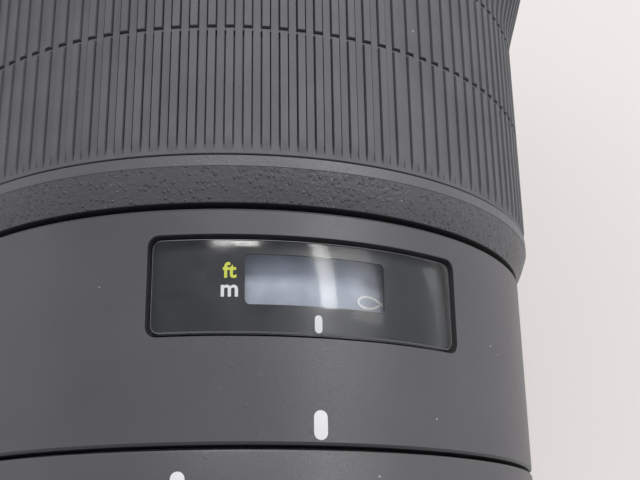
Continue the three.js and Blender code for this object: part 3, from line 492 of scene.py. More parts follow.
def collar():
    p = collarPart
    corners = [(p["bore"], collarRear), (p["radius"], collarRear),
               (p["radius"], collarFront), (p["bore"], collarFront)]
    reach, edge = p["bossReach"], p["bossEdge"]
    boss = [(p["bossRadius"], p["bossRoot"]), (p["bossRadius"], reach - edge), (p["bossRadius"] - edge, reach),
            (p["wellRim"], reach), (p["wellRadius"], reach - edge), (p["wellRadius"], p["wellFloor"])]
    parts = [spinMesh(eased(corners, p["edge"])), bossMesh(boss), padMesh(p)]
    fit(fuse("collarRing", parts, barrelPaint), "foot", "black_paint", "collar_ring")
    top = -math.degrees(barrelTurn)
    markMiddle = p["markTop"] - p["markLength"] / 2
    mark = printedBar("collarMark", p["markWidth"], p["markLength"], p["radius"], top, markMiddle)
    fit(mark, "foot", "black_paint")


rearPart = dict(shoulder=48.2, shoulderEnd=14.7, start=2.3, land=34.6, foot=36.0, footEnd=3.7, bore=29.6,
                seat=44.5, seatWall=2.6, neck=45.3, neckBore=41.9, neckLength=7.6, wall=4.0, edge=0.25)


def rearBarrel():
    p = rearPart
    s = p["start"]
    seatEnd = collarFront + 0.3
    neckEnd = collarFront + p["neckLength"]
    section = [(p["bore"], s), (p["land"], s), (p["foot"], p["footEnd"])]
    # the shoulder swells out to the collar in a soft S
    for i in range(1, 8):
        t = i / 8
        swell = t * t * (3 - 2 * t)
        radius = p["foot"] + (p["shoulder"] - p["foot"]) * (0.35 * t + 0.65 * swell)
        section.append((radius, p["footEnd"] + (p["shoulderEnd"] - 3.6 - s) * t))
    wallEnd = s + p["wall"]
    section += [(p["shoulder"], p["shoulderEnd"] - 1.6), (p["shoulder"], p["shoulderEnd"]),
                (p["seat"], p["shoulderEnd"]), (p["seat"], seatEnd), (p["neck"], seatEnd), (p["neck"], neckEnd),
                (p["neckBore"], neckEnd), (p["seat"] - p["seatWall"], p["shoulderEnd"] + 3),
                (p["land"] - 0.6, wallEnd), (p["bore"], wallEnd)]
    fit(spin("rearBarrel", eased(section, p["edge"]), barrelPaint), "barrel", "black_paint", "rear_barrel")


windowPart = dict(radius=49.0, bore=45.6, edge=0.35, arc=45.0, height=13.6, middle=61.9, corner=1.5,
                  holeFloor=46.85, holeEase=0.05, paintedShadeArc=30.0, paneInset=0.55, paneCorner=1.2, paneRadius=48.72,
                  paneThick=0.86, bevel=0.38, maskRadius=47.55, maskThick=0.4,
                  viewArc=20.2, viewHeight=6.85, viewShift=1.18, viewCorner=0.7, viewAzimuth=0.5, viewMargin=1.5)
markPart = dict(count=4, width=1.8, length=3.7, bottom=42.2,
                windowWidth=1.07, windowLength=2.4, windowBottom=56.1, windowAzimuth=0.42)


# The view through the mask, and the wider one through the barrel below it.
def viewTool(p, margin, corner, azimuth, low, high):
    width, height = p["viewArc"] + 2 * margin, p["viewHeight"] + 2 * margin
    layers, middle = [(0, low), (0, high)], p["middle"] + p["viewShift"]
    return slab("view", width, height, corner, layers, azimuth, middle, maskGloss)


def windowBarrel():
    p, s = windowPart, switchPart
    start, end = ends("window_barrel")
    r, edge, ease = p["radius"], p["edge"], p["holeEase"]
    section = [(p["bore"], start), (r - edge, start), (r, start + edge),
               (r, end - edge), (r - edge, end), (p["bore"], end)]
    shell = spin("windowBarrel", section, barrelPaint)
    layers = [(0, p["holeFloor"]), (0, r - ease), (-ease, r), (-0.2, r + 1)]
    carve(shell, slab("hole", p["arc"], p["height"], p["corner"], layers, 0, p["middle"], barrelPaint))
    carve(shell, viewTool(p, p["viewMargin"], p["viewCorner"] + 0.5, 0, 44, 50))
    width, length, layers = s["width"] + s["gap"], s["length"] + s["gap"], [(0, s["pocketFloor"]), (0, r + 2)]
    carve(shell, slab("pocket", width, length, s["corner"] + 0.2, layers, s["azimuth"], s["middle"], barrelPaint))
    # the walls round the window and the front end get near-black rubber: painted shade in the window's hole and in
    # the gap at the front end
    shell.data.materials.append(sealRubberAndShade)
    for face in shell.data.polygons:
        angle, away, along = whereIs(face.center)
        beside = abs(math.degrees(angle)) < p["paintedShadeArc"] and start + 1 < along < end - 1
        paintedShadeWall = beside and p["bore"] + 0.1 < away < r - 0.03
        if paintedShadeWall or (away < r - 0.2 and along > end - 0.2):
            face.material_index = 1
    fit(shell, "barrel", "black_paint", "window_barrel")
    m = markPart
    for index in range(m["count"]):
        azimuth, middle = 360 / m["count"] * index, m["bottom"] + m["length"] / 2
        bar = printedBar(f"barrelMark{index + 1}", m["width"], m["length"], r, azimuth, middle)
        fit(bar, "barrel", "black_paint")


def windowGlass():
    p, m = windowPart, markPart
    r, bevel = p["paneRadius"], p["bevel"]
    under = r - p["paneThick"]
    width, height = p["arc"] - 2 * p["paneInset"], p["height"] - 2 * p["paneInset"]
    layers = [(0.1, under), (0, under + 0.1), (0, r - bevel * 0.8), (bevel * 0.35, r - bevel * 0.25), (bevel, r)]
    pane = slab("windowPane", width, height, p["paneCorner"], layers, 0, p["middle"], paneGlass)
    pane.data.materials.append(paneUnder)
    # the bevel faces get a painted highlight with painted glints
    pane.data.materials.append(paneEdgeHighlight)
    for face in pane.data.polygons:
        angle, away = whereIs(face.center)[:2]
        out = Vector((math.sin(barrelTurn + angle), 0, math.cos(barrelTurn + angle)))
        if away < under + 0.2:
            face.material_index = 1
        elif away > r - bevel and 0.1 < face.normal.dot(out) < 0.9:
            face.material_index = 2
    fit(pane, "barrel", "pane_glass", "window_pane")
    surface = p["maskRadius"]
    layers = [(0, surface - p["maskThick"]), (0, surface)]
    mask = slab("windowMask", width, height, p["paneCorner"], layers, 0, p["middle"], maskGloss)
    carve(mask, viewTool(p, 0, p["viewCorner"], p["viewAzimuth"], 46, 49))
    fit(mask, "barrel", "gloss_black", "window_mask")
    layers = [(0, surface + 0.01), (0, surface + 0.03)]
    bar = slab("windowMark", m["windowWidth"], m["windowLength"], m["windowWidth"] / 2 - 0.01, layers,
               m["windowAzimuth"], m["windowBottom"] + m["windowLength"] / 2, whitePrint)
    fit(bar, "barrel", "gloss_black")


# Letters and numbers, bent round the axis and given a little thickness.
def letters(name, words, height, radius, azimuth, y, material, body, slot, weight=0.0):
    text = bpy.data.curves.new(name, "FONT")
    text.body = words
    text.align_x = "CENTER"
    text.align_y = "CENTER"
    text.size = height
    text.offset = weight
    text.extrude = printRise
    text.resolution_u = 6
    source = bpy.data.objects.new(name + "Source", text)
    scene.collection.objects.link(source)
    bpy.context.view_layer.update()
    shape = bpy.data.meshes.new_from_object(source.evaluated_get(bpy.context.evaluated_depsgraph_get()))
    bpy.data.objects.remove(source)
    angle = barrelAngle(azimuth)
    points = [place(angle + v.co.x / radius, radius + v.co.z + printRise, y + v.co.y) for v in shape.vertices]
    faces = [tuple(f.vertices) for f in shape.polygons]
    return fit(build(name, points, faces, material), body, slot)


scalePart = dict(radius=44.8, wall=1.2, edge=0.15, infinity=13.9, last=75.0,
                 metresY=61.65, feetY=63.95, tall=2.5, weight=0.03,
                 signWide=7.4, signRise=2.3004, signStroke=0.34, signSteps=96,
                 metres=("10", "5", "3", "2", "1.5", "1.2", "1"), feet=("30", "15", "10", "7", "5", "4", "3.5"))
unitPart = dict(azimuth=-13.7, feetY=64.1, feetTall=2.9, metresY=61.65, metresTall=3.2, weight=0.07)
metresInFoot = 0.3048


def signSpot(p, t):
    low = 1 + math.sin(t) ** 2
    across = p["signWide"] / 2 * math.cos(t) / low
    return Vector((across, p["signRise"] * math.sin(t) * math.cos(t) / low))


# The sign for infinity: a lying eight drawn with a flat stroke.
def infinitySign(p):
    points, faces = [], []
    count = p["signSteps"]
    angle = barrelAngle(p["infinity"])
    for i in range(count):
        t = 2 * math.pi * i / count
        along = (signSpot(p, t + 0.01) - signSpot(p, t - 0.01)).normalized()
        side = Vector((along.y, -along.x)) * p["signStroke"] / 2
        for radius in (p["radius"] + 0.01, p["radius"] + 0.035):
            for sign in (1, -1):
                spot = signSpot(p, t) + side * sign
                points.append(place(angle + spot.x / p["radius"], radius, p["metresY"] + spot.y))
        a, b = 4 * i, 4 * ((i + 1) % count)
        faces += [(a, a + 1, b + 1, b), (a + 2, b + 2, b + 3, a + 3),
                  (a, b, b + 2, a + 2), (a + 1, a + 3, b + 3, b + 1)]
    fit(build("scaleInfinity", points, faces, whitePrint), "cam_tube", "drum_grey")


def metresOf(words, unit):
    return float(words) * (metresInFoot if unit == "feet" else 1)


def scaleDrum():
    p, u = scalePart, unitPart
    start, end = ends("scale_drum")
    bore = p["radius"] - p["wall"]
    section = eased([(bore, start), (p["radius"], start), (p["radius"], end), (bore, end)], p["edge"])
    fit(spin("scaleDrum", section, drumPaint), "cam_tube", "drum_grey", "scale_drum")
    infinitySign(p)
    nearest = metresOf(p["metres"][-1], "metres")
    for unit, material in (("metres", whitePrint), ("feet", yellowPrint)):
        for index, words in enumerate(p[unit]):
            share = nearest / max(metresOf(words, unit), nearest)
            azimuth = p["infinity"] + (p["last"] - p["infinity"]) * share
            letters(f"{unit}{index + 1}", words, p["tall"], p["radius"], azimuth, p[unit + "Y"], material,
                    "cam_tube", "drum_grey", p["weight"])
    surface = windowPart["maskRadius"]
    units = (("unitFeet", "ft", "feet", yellowPrint), ("unitMetres", "m", "metres", whitePrint))
    for name, words, unit, material in units:
        letters(name, words, u[unit + "Tall"], surface, u["azimuth"], u[unit + "Y"], material,
                "barrel", "gloss_black", u["weight"])


switchPart = dict(azimuth=-88.0, middle=61.9, width=13.0, length=20.0, corner=2.0, radius=49.1, edge=0.25, gap=0.6,
                  pocketFloor=47.8, slotWidth=5.6, slotLength=10.2, slotCorner=0.8, slotEdge=0.15,
                  sliderWidth=5.0, sliderLength=6.0, sliderCorner=0.6, sliderEdge=0.3, travel=3.6, rise=1.1,
                  grooves=7, groovePitch=0.65, grooveWidth=0.32, grooveDepth=0.4, wordTall=2.2, wordGap=4.6)


def focusSwitch():
    p = switchPart
    r, azimuth, middle = p["radius"], p["azimuth"], p["middle"]
    layers = [(0, r - 1), (0, r - p["edge"]), (p["edge"], r)]
    plate = slab("switchPlate", p["width"], p["length"], p["corner"], layers, azimuth, middle, blackPlastic)
    layers = [(0, r - 2), (0, r - p["slotEdge"]), (-p["slotEdge"], r), (-0.4, r + 1)]
    slot = slab("slot", p["slotWidth"], p["slotLength"], p["slotCorner"], layers, azimuth, middle, blackPlastic)
    carve(plate, slot)
    fit(plate, "barrel", "black_plastic", "switch_plate")
    rest, top = middle + p["travel"] / 2, r + p["rise"]
    layers = [(0, r - 1), (0, top - p["sliderEdge"]), (p["sliderEdge"], top)]
    width, length, corner = p["sliderWidth"], p["sliderLength"], p["sliderCorner"]
    slider = slab("switchSlider", width, length, corner, layers, azimuth, rest, blackPlastic)
    layers = [(0, top - p["grooveDepth"]), (0, top + 1)]
    for index in range(p["grooves"]):
        y = rest + (index - (p["grooves"] - 1) / 2) * p["groovePitch"]
        carve(slider, slab("groove", width + 2, p["grooveWidth"], 0.1, layers, azimuth, y, blackPlastic))
    fit(slider, "switch_slider", "black_plastic", "switch_slider")
    for side, words in ((1, "AF"), (-1, "MF")):
        y = middle + side * (p["travel"] / 2 + p["wordGap"])
        letters("switch" + words, words, p["wordTall"], r, azimuth, y, whitePrint, "barrel", "black_plastic", 0.03)


collar()
rearBarrel()
windowBarrel()
windowGlass()
scaleDrum()
focusSwitch()
print("barrels, window and switch made")


ringPart = dict(bandStart=77.5, bandEnd=79.1, radius=50.85, rear=48.8, bore=46.5, seat=48.9, swell=0.16)
flarePart = dict(start=116.0, end=148.5, radius=57.94, firstRun=0.16, secondRun=0.38, secondRise=0.58)


def flareSpot(t):
    f, rise = flarePart, flarePart["radius"] - ringPart["radius"]
    run = f["end"] - f["start"]
    b, c, d = 3 * t * (1 - t) ** 2, 3 * t * t * (1 - t), t ** 3
    radius = ringPart["radius"] + rise * (f["secondRise"] * c + d)
    return radius, f["start"] + run * (f["firstRun"] * b + f["secondRun"] * c + d)


def flareRadius(y):
    if y <= flarePart["start"]:
        return ringPart["radius"]
    low, high = 0.0, 1.0
    for _ in range(24):
        middle = (low + high) / 2
        if flareSpot(middle)[1] < y:
            low = middle
        else:
            high = middle
    return flareSpot(low)[0]


def focusRing():
    p = ringPart
    start, end = ends("focus_ring")
    lip, lipEnd = p["rear"] + 0.12, start + 0.08
    section = [(p["bore"], start), (p["rear"], start), (lip, lipEnd)]
    # the rear cone is slightly swollen
    for i in range(1, 10):
        t = i / 9
        radius = lip + (p["radius"] - 0.08 - lip) * t + p["swell"] * math.sin(math.pi * t)
        section.append((radius, lipEnd + (p["bandStart"] - lipEnd) * t))
    section += [(p["radius"], p["bandStart"] + 0.1), (p["radius"], p["bandEnd"] - 0.05),
                (p["radius"] - 0.06, p["bandEnd"]), (p["seat"], p["bandEnd"])]
    steps = [flarePart["start"] + (end - flarePart["start"]) * i / 10 for i in range(11)]
    section += [(flareRadius(y) - p["radius"] + p["seat"], y) for y in steps]
    section += [(flareRadius(y) - p["radius"] + p["bore"], y) for y in reversed(steps)]
    ring = spin("focusRing", section, barrelPaint, sharp=14)
    for material in (conePaint, sealRubberAndShade, bandPaint):
        ring.data.materials.append(material)
    for face in ring.data.polygons:
        away, along = whereIs(face.center)[1:]
        if along < start + 0.05:
            face.material_index = 2  # the rear face, near-black as painted shade in the gap
        elif along < p["bandStart"] + 0.02 and away > p["rear"] - 0.2:
            face.material_index = 1
        elif along < p["bandEnd"] and away > p["radius"] - 0.03:
            face.material_index = 3
    fit(ring, "focus_ring", "black_paint", "focus_ring")


gripPart = dict(count=128, phase=0.3, sunk=0.3, moat=0.95, moatWidth=0.21, stripWidth=1.02, lean=0.03,
                band=0.5, edge=0.12, taper=3.2, notches=(98.2, 114.6), notchLength=0.62, notchSill=0.15, ditch=0.26,
                rowStep=1.2, rowGap=0.7, paintedShadeFrom=0.3, bore=49.2)


# Rows of the rubber along the axis: (y, how much land, depth of moats, of ditch, rounding of the end).
def gripRows(start, end):
    g = gripPart
    ribStart, edge, sill = start + g["band"], g["edge"], g["notchSill"]
    rows = [(start, 0, 0, 0, edge), (start + 0.1, 0, 0, 0, 0), (ribStart, 0, 0, 0, 0)]
    for share in (0.12, 0.3, 0.5, 0.75, 1.0):
        rows.append((ribStart + g["taper"] * share, min(1, 2 * share), share ** 0.75, 0, 0))
    for middle in g["notches"]:
        low, high = middle - g["notchLength"] / 2, middle + g["notchLength"] / 2
        ditch = high - g["ditch"]
        rows += [(low - 0.08, 1, 1, 0, 0), (low, 0, sill, 0, 0), (ditch - 0.04, 0, sill, 0, 0),
                 (ditch, 0, 1, 1, 0), (high, 0, 1, 1, 0), (high + 0.05, 1, 1, 0, 0)]
    rows += [(end - 0.1, 1, 1, 0, 0), (end, 1, 1, 0, edge)]
    known = [row[0] for row in rows]
    y = flarePart["start"]
    while y < end - 1:
        if min(abs(y - k) for k in known) > g["rowGap"]:
            rows.append((y, 1, 1, 0, 0))
        y += g["rowStep"]
    return sorted(rows)


# Columns across one rib: (place, kind).
def ribColumns(pitch):
    g = gripPart
    w, strip, lean = g["moatWidth"], g["stripWidth"], g["lean"]
    return [(0.0, "strip"), (strip / 2, "strip"), (strip, "strip"), (strip + lean, "moat"), (strip + w, "moat"),
            (strip + w + lean, "land"), ((strip + w + pitch - w) / 2, "land"), (pitch - w - lean, "land"),
            (pitch - w, "moat"), (pitch - lean, "moat")]


def gripSleeve():
    g = gripPart
    start, end = ends("grip_rubber")
    radius = ringPart["radius"]
    pitch = 2 * math.pi * radius / g["count"]
    columns = ribColumns(pitch)
    angles = [barrelTurn + (i + g["phase"]) * pitch / radius + across / radius
              for i in range(g["count"]) for across, kind in columns]
    kinds = [kind for across, kind in columns] * g["count"]
    rows = gripRows(start, end)
    points, faces = [], []
    total = len(angles)
    for y, land, moat, ditch, rounding in rows:
        outer = flareRadius(y)
        sunk = dict(strip=g["sunk"], land=g["sunk"] * (1 - land) + g["moat"] * ditch,
                    moat=g["sunk"] + (g["moat"] - g["sunk"]) * moat)
        points += [place(angle, outer - sunk[kind] - rounding, y) for angle, kind in zip(angles, kinds)]
    for row in range(len(rows) - 1):
        a, b = row * total, (row + 1) * total
        faces += [(a + k, a + (k + 1) % total, b + (k + 1) % total, b + k) for k in range(total)]
    inner = [start] + [flarePart["start"] + (end - flarePart["start"]) * i / 8 for i in range(9)]
    base = len(points)
    for y in inner:
        bore = g["bore"] + flareRadius(y) - radius
        points += [place(angle, bore, y) for angle in angles]
    for row in range(len(inner) - 1):
        a, b = base + row * total, base + (row + 1) * total
        faces += [(a + k, b + k, b + (k + 1) % total, a + (k + 1) % total) for k in range(total)]
    lastOuter, lastInner = (len(rows) - 1) * total, base + (len(inner) - 1) * total
    for k in range(total):
        m = (k + 1) % total
        faces.append((k, base + k, base + m, m))
        faces.append((lastOuter + k, lastOuter + m, lastInner + m, lastInner + k))
    sleeve = build("gripSleeve", points, faces, gripRubber, 25)
    sleeve.data.materials.append(sealRubberAndShade)
    # the floors of the moats get near-black rubber: painted shade in the moats
    for row in range(len(rows) - 1):
        if min(rows[row][2], rows[row + 1][2]) > g["paintedShadeFrom"]:
            for k in range(total):
                if kinds[k] == kinds[(k + 1) % total] == "moat":
                    sleeve.data.polygons[row * total + k].material_index = 1
    fit(sleeve, "focus_ring", "grip_rubber", "grip_rubber")


focusRing()
gripSleeve()
print("focus ring and rubber made")


frontPart = dict(radius=57.94, filter=52.5, lip=0.5, edge=0.25, wall=4.6, waist=4.0, cellBore=47.8,
                 sleeve=46.2, sleeveBore=44.2, depth=6.0,
                 threadDepth=0.35, threadPitch=1.0, threadGap=0.02, threadStart=0.8, threadEnd=1.3)


def frontBarrel():
    p = frontPart
    start, end = ends("front_barrel")
    frontStart = ends("grip_rubber")[1] + 0.3
    waist, first, edge = frontStart - p["waist"], flareRadius(frontStart), p["edge"]
    section = [(p["sleeveBore"], start), (p["sleeve"], start), (p["sleeve"], waist),
               (first - p["wall"], frontStart), (first - edge, frontStart), (first, frontStart + edge)]
    for i in range(1, 13):
        y = frontStart + edge + (flarePart["end"] - frontStart - edge) * i / 12
        section.append((flareRadius(y), y))
    root, crest, seat = p["filter"], p["filter"] + p["threadDepth"], end - p["depth"]
    section += [(p["radius"], end - p["lip"]), (p["radius"] - 0.12, end - 0.2), (p["radius"] - p["lip"], end),
                (crest, end), (root, end - p["threadDepth"])]
    # the screw thread for filters, as close rings
    y = end - p["threadStart"]
    while y > seat + p["threadEnd"]:
        section += [(root, y), (crest, y - p["threadPitch"] / 2), (root, y - p["threadPitch"])]
        y -= p["threadPitch"] + p["threadGap"]
    section += [(root, seat), (p["cellBore"], seat), (p["cellBore"], frontStart + 1), (p["sleeveBore"], waist - 2)]
    fit(spin("frontBarrel", section, barrelPaint, sharp=20), "barrel", "black_paint", "front_barrel")


# A turned CAD piece made again with a rounder section: its outline is read off one column of its points.
def respin(node, name, material, body, slot, sides=144, ease=0.1):
    mesh = frame["nodes"][node].data
    groups = {}
    for vertex in mesh.vertices:
        across, up = vertex.co.x - lensAxis.x, vertex.co.z - lensAxis.z
        radius = math.hypot(across, up)
        if radius > 1e-6:
            key = round(math.degrees(math.atan2(across, up) - barrelTurn) * 4) % 1440
            groups.setdefault(key, {})[vertex.index] = (radius / mm, vertex.co.y / mm - flangeY)
    best = None
    for key in sorted(groups):
        spots = sorted(set((round(r, 3), round(y, 3)) for r, y in groups[key].values()))
        if len(spots) >= 3 and (best is None or len(spots) < len(best[1])):
            best = (key, spots)
    names = {spot: i for i, spot in enumerate(best[1])}
    chosen = {i: names[(round(r, 3), round(y, 3))] for i, (r, y) in groups[best[0]].items()}
    links = {}
    for edge in mesh.edges:
        a, b = edge.vertices
        if a in chosen and b in chosen and chosen[a] != chosen[b]:
            links.setdefault(chosen[a], set()).add(chosen[b])
            links.setdefault(chosen[b], set()).add(chosen[a])
    order, here, last = [0], 0, None
    while True:
        ahead = [k for k in sorted(links[here]) if k != last]
        step = next((k for k in ahead if k not in order), None)
        if step is None:
            break
        order.append(step)
        last, here = here, step
    section = [best[1][k] for k in order]
    return fit(spin(name, eased(section, ease), material, sides), body, slot, node)


# A glass element made again with smooth faces from its rim and its bulges.
def lensElement(node, name, material):
    spots = [whereIs(v.co)[1:] for v in frame["nodes"][node].data.vertices]
    radius = max(r for r, y in spots)
    rim = [y for r, y in spots if r > radius - 0.05]
    axis = [y for r, y in spots if r < 0.05]
    body = next(b for b, nodes in frame["record"]["behaviour"]["bodies"].items() if node in nodes)
    back, front = (min(rim), min(axis)), (max(rim), max(axis))
    count, section = 16, []
    for (edge, bulge), steps in ((back, range(count + 1)), (front, range(count, -1, -1))):
        section += [(radius * i / count, edge + (bulge - edge) * (1 - (i / count) ** 2)) for i in steps]
    return fit(spin(name, section, material, 128), body, "clear_glass", node)


frontBarrel()
respin("front_ring", "frontRing", blackPlastic, "barrel", "black_plastic", 192)
respin("front_cell", "frontCell", barrelPaint, "barrel", "black_paint")
respin("middle_cell", "middleCell", barrelPaint, "barrel", "black_paint")
respin("rear_cell", "rearCell", barrelPaint, "barrel", "black_paint")
respin("focus_cell", "focusCell", aluminium, "focus_cell", "aluminium")
respin("mount_seal", "mountSeal", sealRubberAndShade, "barrel", "seal_rubber", 192, 0.2)
respin("motor_stator", "motorStator", brass, "barrel", "brass")
respin("motor_rotor", "motorRotor", steel, "motor_rotor", "steel")
for node, name in (("front_element", "frontGlass"), ("rear_element", "rearGlass")):
    lensElement(node, name, coatedGlass)
for word in ("second", "third", "fourth", "fifth", "sixth", "seventh", "eighth", "ninth"):
    lensElement(word + "_element", word + "Glass", innerGlass)
print("front barrel and glass made")


mountPart = dict(throat=27.0, tube=29.2, flange=33.0, depth=5.2, thick=2.0, edge=0.2,
                 lugs=3, lugRoot=27.7, lugReach=31.2, lugThick=1.4, lugSpan=52.0, lugEdge=0.2, lugCorner=0.25,
                 screws=4, screwCircle=31.4, screwHead=1.55, screwRise=0.16)


def bayonetMount():
    p = mountPart
    section = eased([(p["throat"], -p["depth"]), (p["tube"], -p["depth"]), (p["tube"], 0), (p["flange"], 0),
                     (p["flange"], p["thick"]), (p["throat"], p["thick"])], p["edge"])
    parts = [spinMesh(section, 216)]
    arc = math.radians(p["lugSpan"]) * arcRadius
    layers = [(0, p["lugRoot"]), (0, p["lugReach"] - p["lugEdge"]), (p["lugEdge"], p["lugReach"])]
    for index in range(p["lugs"]):
        azimuth, middle = 360 / p["lugs"] * index, -p["depth"] + p["lugThick"] / 2
        parts.append(slabMesh(arc, p["lugThick"], p["lugCorner"], layers, azimuth, middle))
    fit(fuse("mountBayonet", parts, chromedBrass), "barrel", "chromed_brass", "mount_bayonet")
    for index in range(p["screws"]):
        centre = place(barrelAngle(45 + 360 / p["screws"] * index), p["screwCircle"], 0)
        name, facing = f"mountScrewHead{index + 1}", Vector((0, -1, 0))
        head = screwHead(name, centre, facing, p["screwHead"], p["screwRise"], "cross")
        fit(head, "barrel", "steel", f"mount_screw_{index + 1}")


# The shank is (share of the radius, lift in mm), the dome (share of the radius, share of the rise).
screwPart = dict(sides=48, shank=((0.96, -1.2), (1.0, -1.1), (1.0, 0.0)), dome=((0.93, 0.6), (0.72, 1.0)),
                 crossArm=0.58, crossHalf=0.13, crossDepth=0.6, hexRadius=0.46, hexDepth=1.2)


def turned(spots, quarter):
    for step in range(quarter):
        spots = [(-v, u) for u, v in spots]
    return spots


# The outline of the driving recess, and how deep it is.
def recess(drive, radius):
    p = screwPart
    if drive == "cross":
        arm, half = radius * p["crossArm"], radius * p["crossHalf"]
        corner = [(arm, -half), (arm, half), (half, half)]
        return [spot for quarter in range(4) for spot in turned(corner, quarter)], p["crossDepth"]
    reach = radius * p["hexRadius"]
    return [(reach * math.cos(math.pi * i / 3), reach * math.sin(math.pi * i / 3)) for i in range(6)], p["hexDepth"]


# A screw seen from its head: a domed disc with a driving recess.
def screwHead(name, centre, facing, radius, rise, drive):
    sideways = Vector((0, 0, 1)) if abs(facing.z) < 0.5 else Vector((1, 0, 0))
    across = facing.cross(sideways).normalized()
    upward = facing.cross(across)
    sides = screwPart["sides"]
    stations = [*screwPart["shank"], *((share, rise * part) for share, part in screwPart["dome"])]
    points = []
    for share, lift in stations:
        for i in range(sides):
            angle = 2 * math.pi * i / sides
            out = across * math.cos(angle) + upward * math.sin(angle)
            points.append(centre + (facing * lift + out * radius * share) * mm)
    item = build(name, points, stackFaces(len(stations), sides), steel)
    outline, depth = recess(drive, radius)
    points = []
    for lift in (-depth, depth):
        points += [centre + (facing * (rise + lift) + across * u + upward * v) * mm for u, v in outline]
    carve(item, build(name + "Recess", points, stackFaces(2, len(outline)), steel))
    return item


contactPart = dict(azimuth=180.0, arc=30.0, radius=27.0, floor=24.1, top=26.7, edge=0.1, corner=0.4,
                   padCount=11, padPitch=1.95, padRadius=25.4, padWidth=1.15, padLength=0.3, padCorner=0.12,
                   padFloor=24.7, padTop=26.0, padEdge=0.05, padRise=0.02)


def contacts():
    p = contactPart
    low, high = ends("contact_block")
    layers = [(0, p["floor"]), (0, p["top"] - p["edge"]), (p["edge"], p["top"])]
    arc, azimuth = p["arc"] * arcRadius / p["radius"], p["azimuth"]
    block = slab("contactBlock", arc, high - low, p["corner"], layers, azimuth, (low + high) / 2, blackPlastic)
    fit(block, "barrel", "black_plastic", "contact_block")
    layers = [(0, p["padFloor"]), (0, p["padTop"] - p["edge"]), (p["padEdge"], p["padTop"])]
    arc = p["padWidth"] * arcRadius / p["padRadius"]
    for index in range(p["padCount"]):
        azimuth = p["azimuth"] + math.degrees((index - (p["padCount"] - 1) / 2) * p["padPitch"] / p["padRadius"])
        name = f"contactPad{index + 1}"
        pad = slab(name, arc, p["padLength"], p["padCorner"], layers, azimuth, low - p["padRise"], goldPlate)
        fit(pad, "barrel", "chromed_brass")


# The knob's outline is (growth of the radius, distance from its near end), then from its far end.
knobPart = dict(radius=11.0, lobes=10, lobeSides=16, lobeDepth=0.6, faceLobe=0.3, faceFrom=-1.2,
                near=((-1.0, 0.0), (-0.35, 0.25), (0.0, 0.9)),
                far=((0.0, 2.2), (-0.4, 0.9), (-1.4, 0.2), (-2.6, 0.02), (-3.4, 0.02), (-3.7, 0.5), (-3.9, 0.5)),
                start=58.5, collar=7.0, collarStart=57.3, screw=3.0)


def clampKnob():
    p = knobPart
    low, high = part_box("clamp_knob")
    middle = (low + high) / 2
    sides = p["lobes"] * p["lobeSides"]
    start, end = (lensAxis.x - high.x) / mm, (lensAxis.x - low.x) / mm
    stations = [(grow, start + run) for grow, run in p["near"]] + [(grow, end - run) for grow, run in p["far"]]
    points = []
    for grow, reach in stations:
        depth = p["lobeDepth"] * (1 if grow > p["faceFrom"] else p["faceLobe"])
        for i in range(sides):
            angle = 2 * math.pi * i / sides
            radius = p["radius"] + grow - depth * (1 - math.cos(angle * p["lobes"]))
            y, z = middle.y + radius * math.cos(angle) * mm, middle.z + radius * math.sin(angle) * mm
            points.append(Vector((lensAxis.x - reach * mm, y, z)))
    knob = build("clampKnob", points, stackFaces(len(stations), sides), gripRubber, 40)
    fit(knob, "clamp_knob", "grip_rubber", "clamp_knob")


def clampScrew():
    p = knobPart
    reach = (lensAxis.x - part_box("clamp_screw")[1].x) / mm
    stations = [(p["screw"], reach), (p["screw"], p["collarStart"]),
                (p["collar"], p["collarStart"]), (p["collar"], p["start"] - 0.3),
                (p["collar"] - 0.2, p["start"] - 0.1)]
    points, faces = bossMesh(stations)
    fit(build("clampScrew", points, faces, steel), "clamp_knob", "steel", "clamp_screw")


# A CAD piece with its flat faces joined up and its edges rounded over.
def easeNode(node, name, material, body, slot, width, steps=2):
    mesh = bpy.data.meshes.new(name)
    work = bmesh.new()
    work.from_mesh(frame["nodes"][node].data)
    bmesh.ops.remove_doubles(work, verts=work.verts, dist=2e-6)
    bmesh.ops.dissolve_limit(work, angle_limit=math.radians(1), verts=work.verts, edges=work.edges)
    work.to_mesh(mesh)
    work.free()
    mesh.materials.clear()
    mesh.materials.append(material)
    item = bpy.data.objects.new(name, mesh)
    scene.collection.objects.link(item)
    tool = item.modifiers.new("ease", "BEVEL")
    tool.width = width * mm
    tool.segments = steps
    tool.limit_method = "ANGLE"
    tool.angle_limit = math.radians(38)
    settle(item, 28)
    return fit(item, body, slot, node)


footPart = dict(edge=0.45, screwSunk=0.4, screwRise=0.3)


def footAndScrews():
    p = footPart
    easeNode("tripod_foot", "tripodFoot", barrelPaint, "foot", "black_paint", p["edge"])
    for index in range(2):
        low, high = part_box(f"foot_screw_{index + 1}")
        centre = Vector(((low.x + high.x) / 2, (low.y + high.y) / 2, low.z + p["screwSunk"] * mm))
        name, facing, radius = f"footScrewHead{index + 1}", Vector((0, 0, -1)), (high.x - low.x) / 2 / mm
        head = screwHead(name, centre, facing, radius, p["screwRise"], "hex")
        fit(head, "foot", "steel", f"foot_screw_{index + 1}")


bayonetMount()
contacts()
clampKnob()
clampScrew()
footAndScrews()

slotFinish = dict(black_paint=barrelPaint, grip_rubber=gripRubber, seal_rubber=sealRubberAndShade,
                  black_plastic=blackPlastic, gloss_black=maskGloss, clear_glass=innerGlass, pane_glass=paneGlass,
                  chromed_brass=chromedBrass, steel=steel, blade_steel=bladeSteel, brass=brass, aluminium=aluminium,
                  drum_grey=drumPaint, board=boardGreen)
for part in frame["record"]["subparts"]:
    item = frame["nodes"][part["node"]]
    item.data.materials.clear()
    item.data.materials.append(slotFinish[part["material_slot"]])
print("mount, clamp and foot made")


floorPart = dict(size=6.0, level=-0.0002, colour=(0.95, 0.90, 0.855), fade=0.985, patch=9)


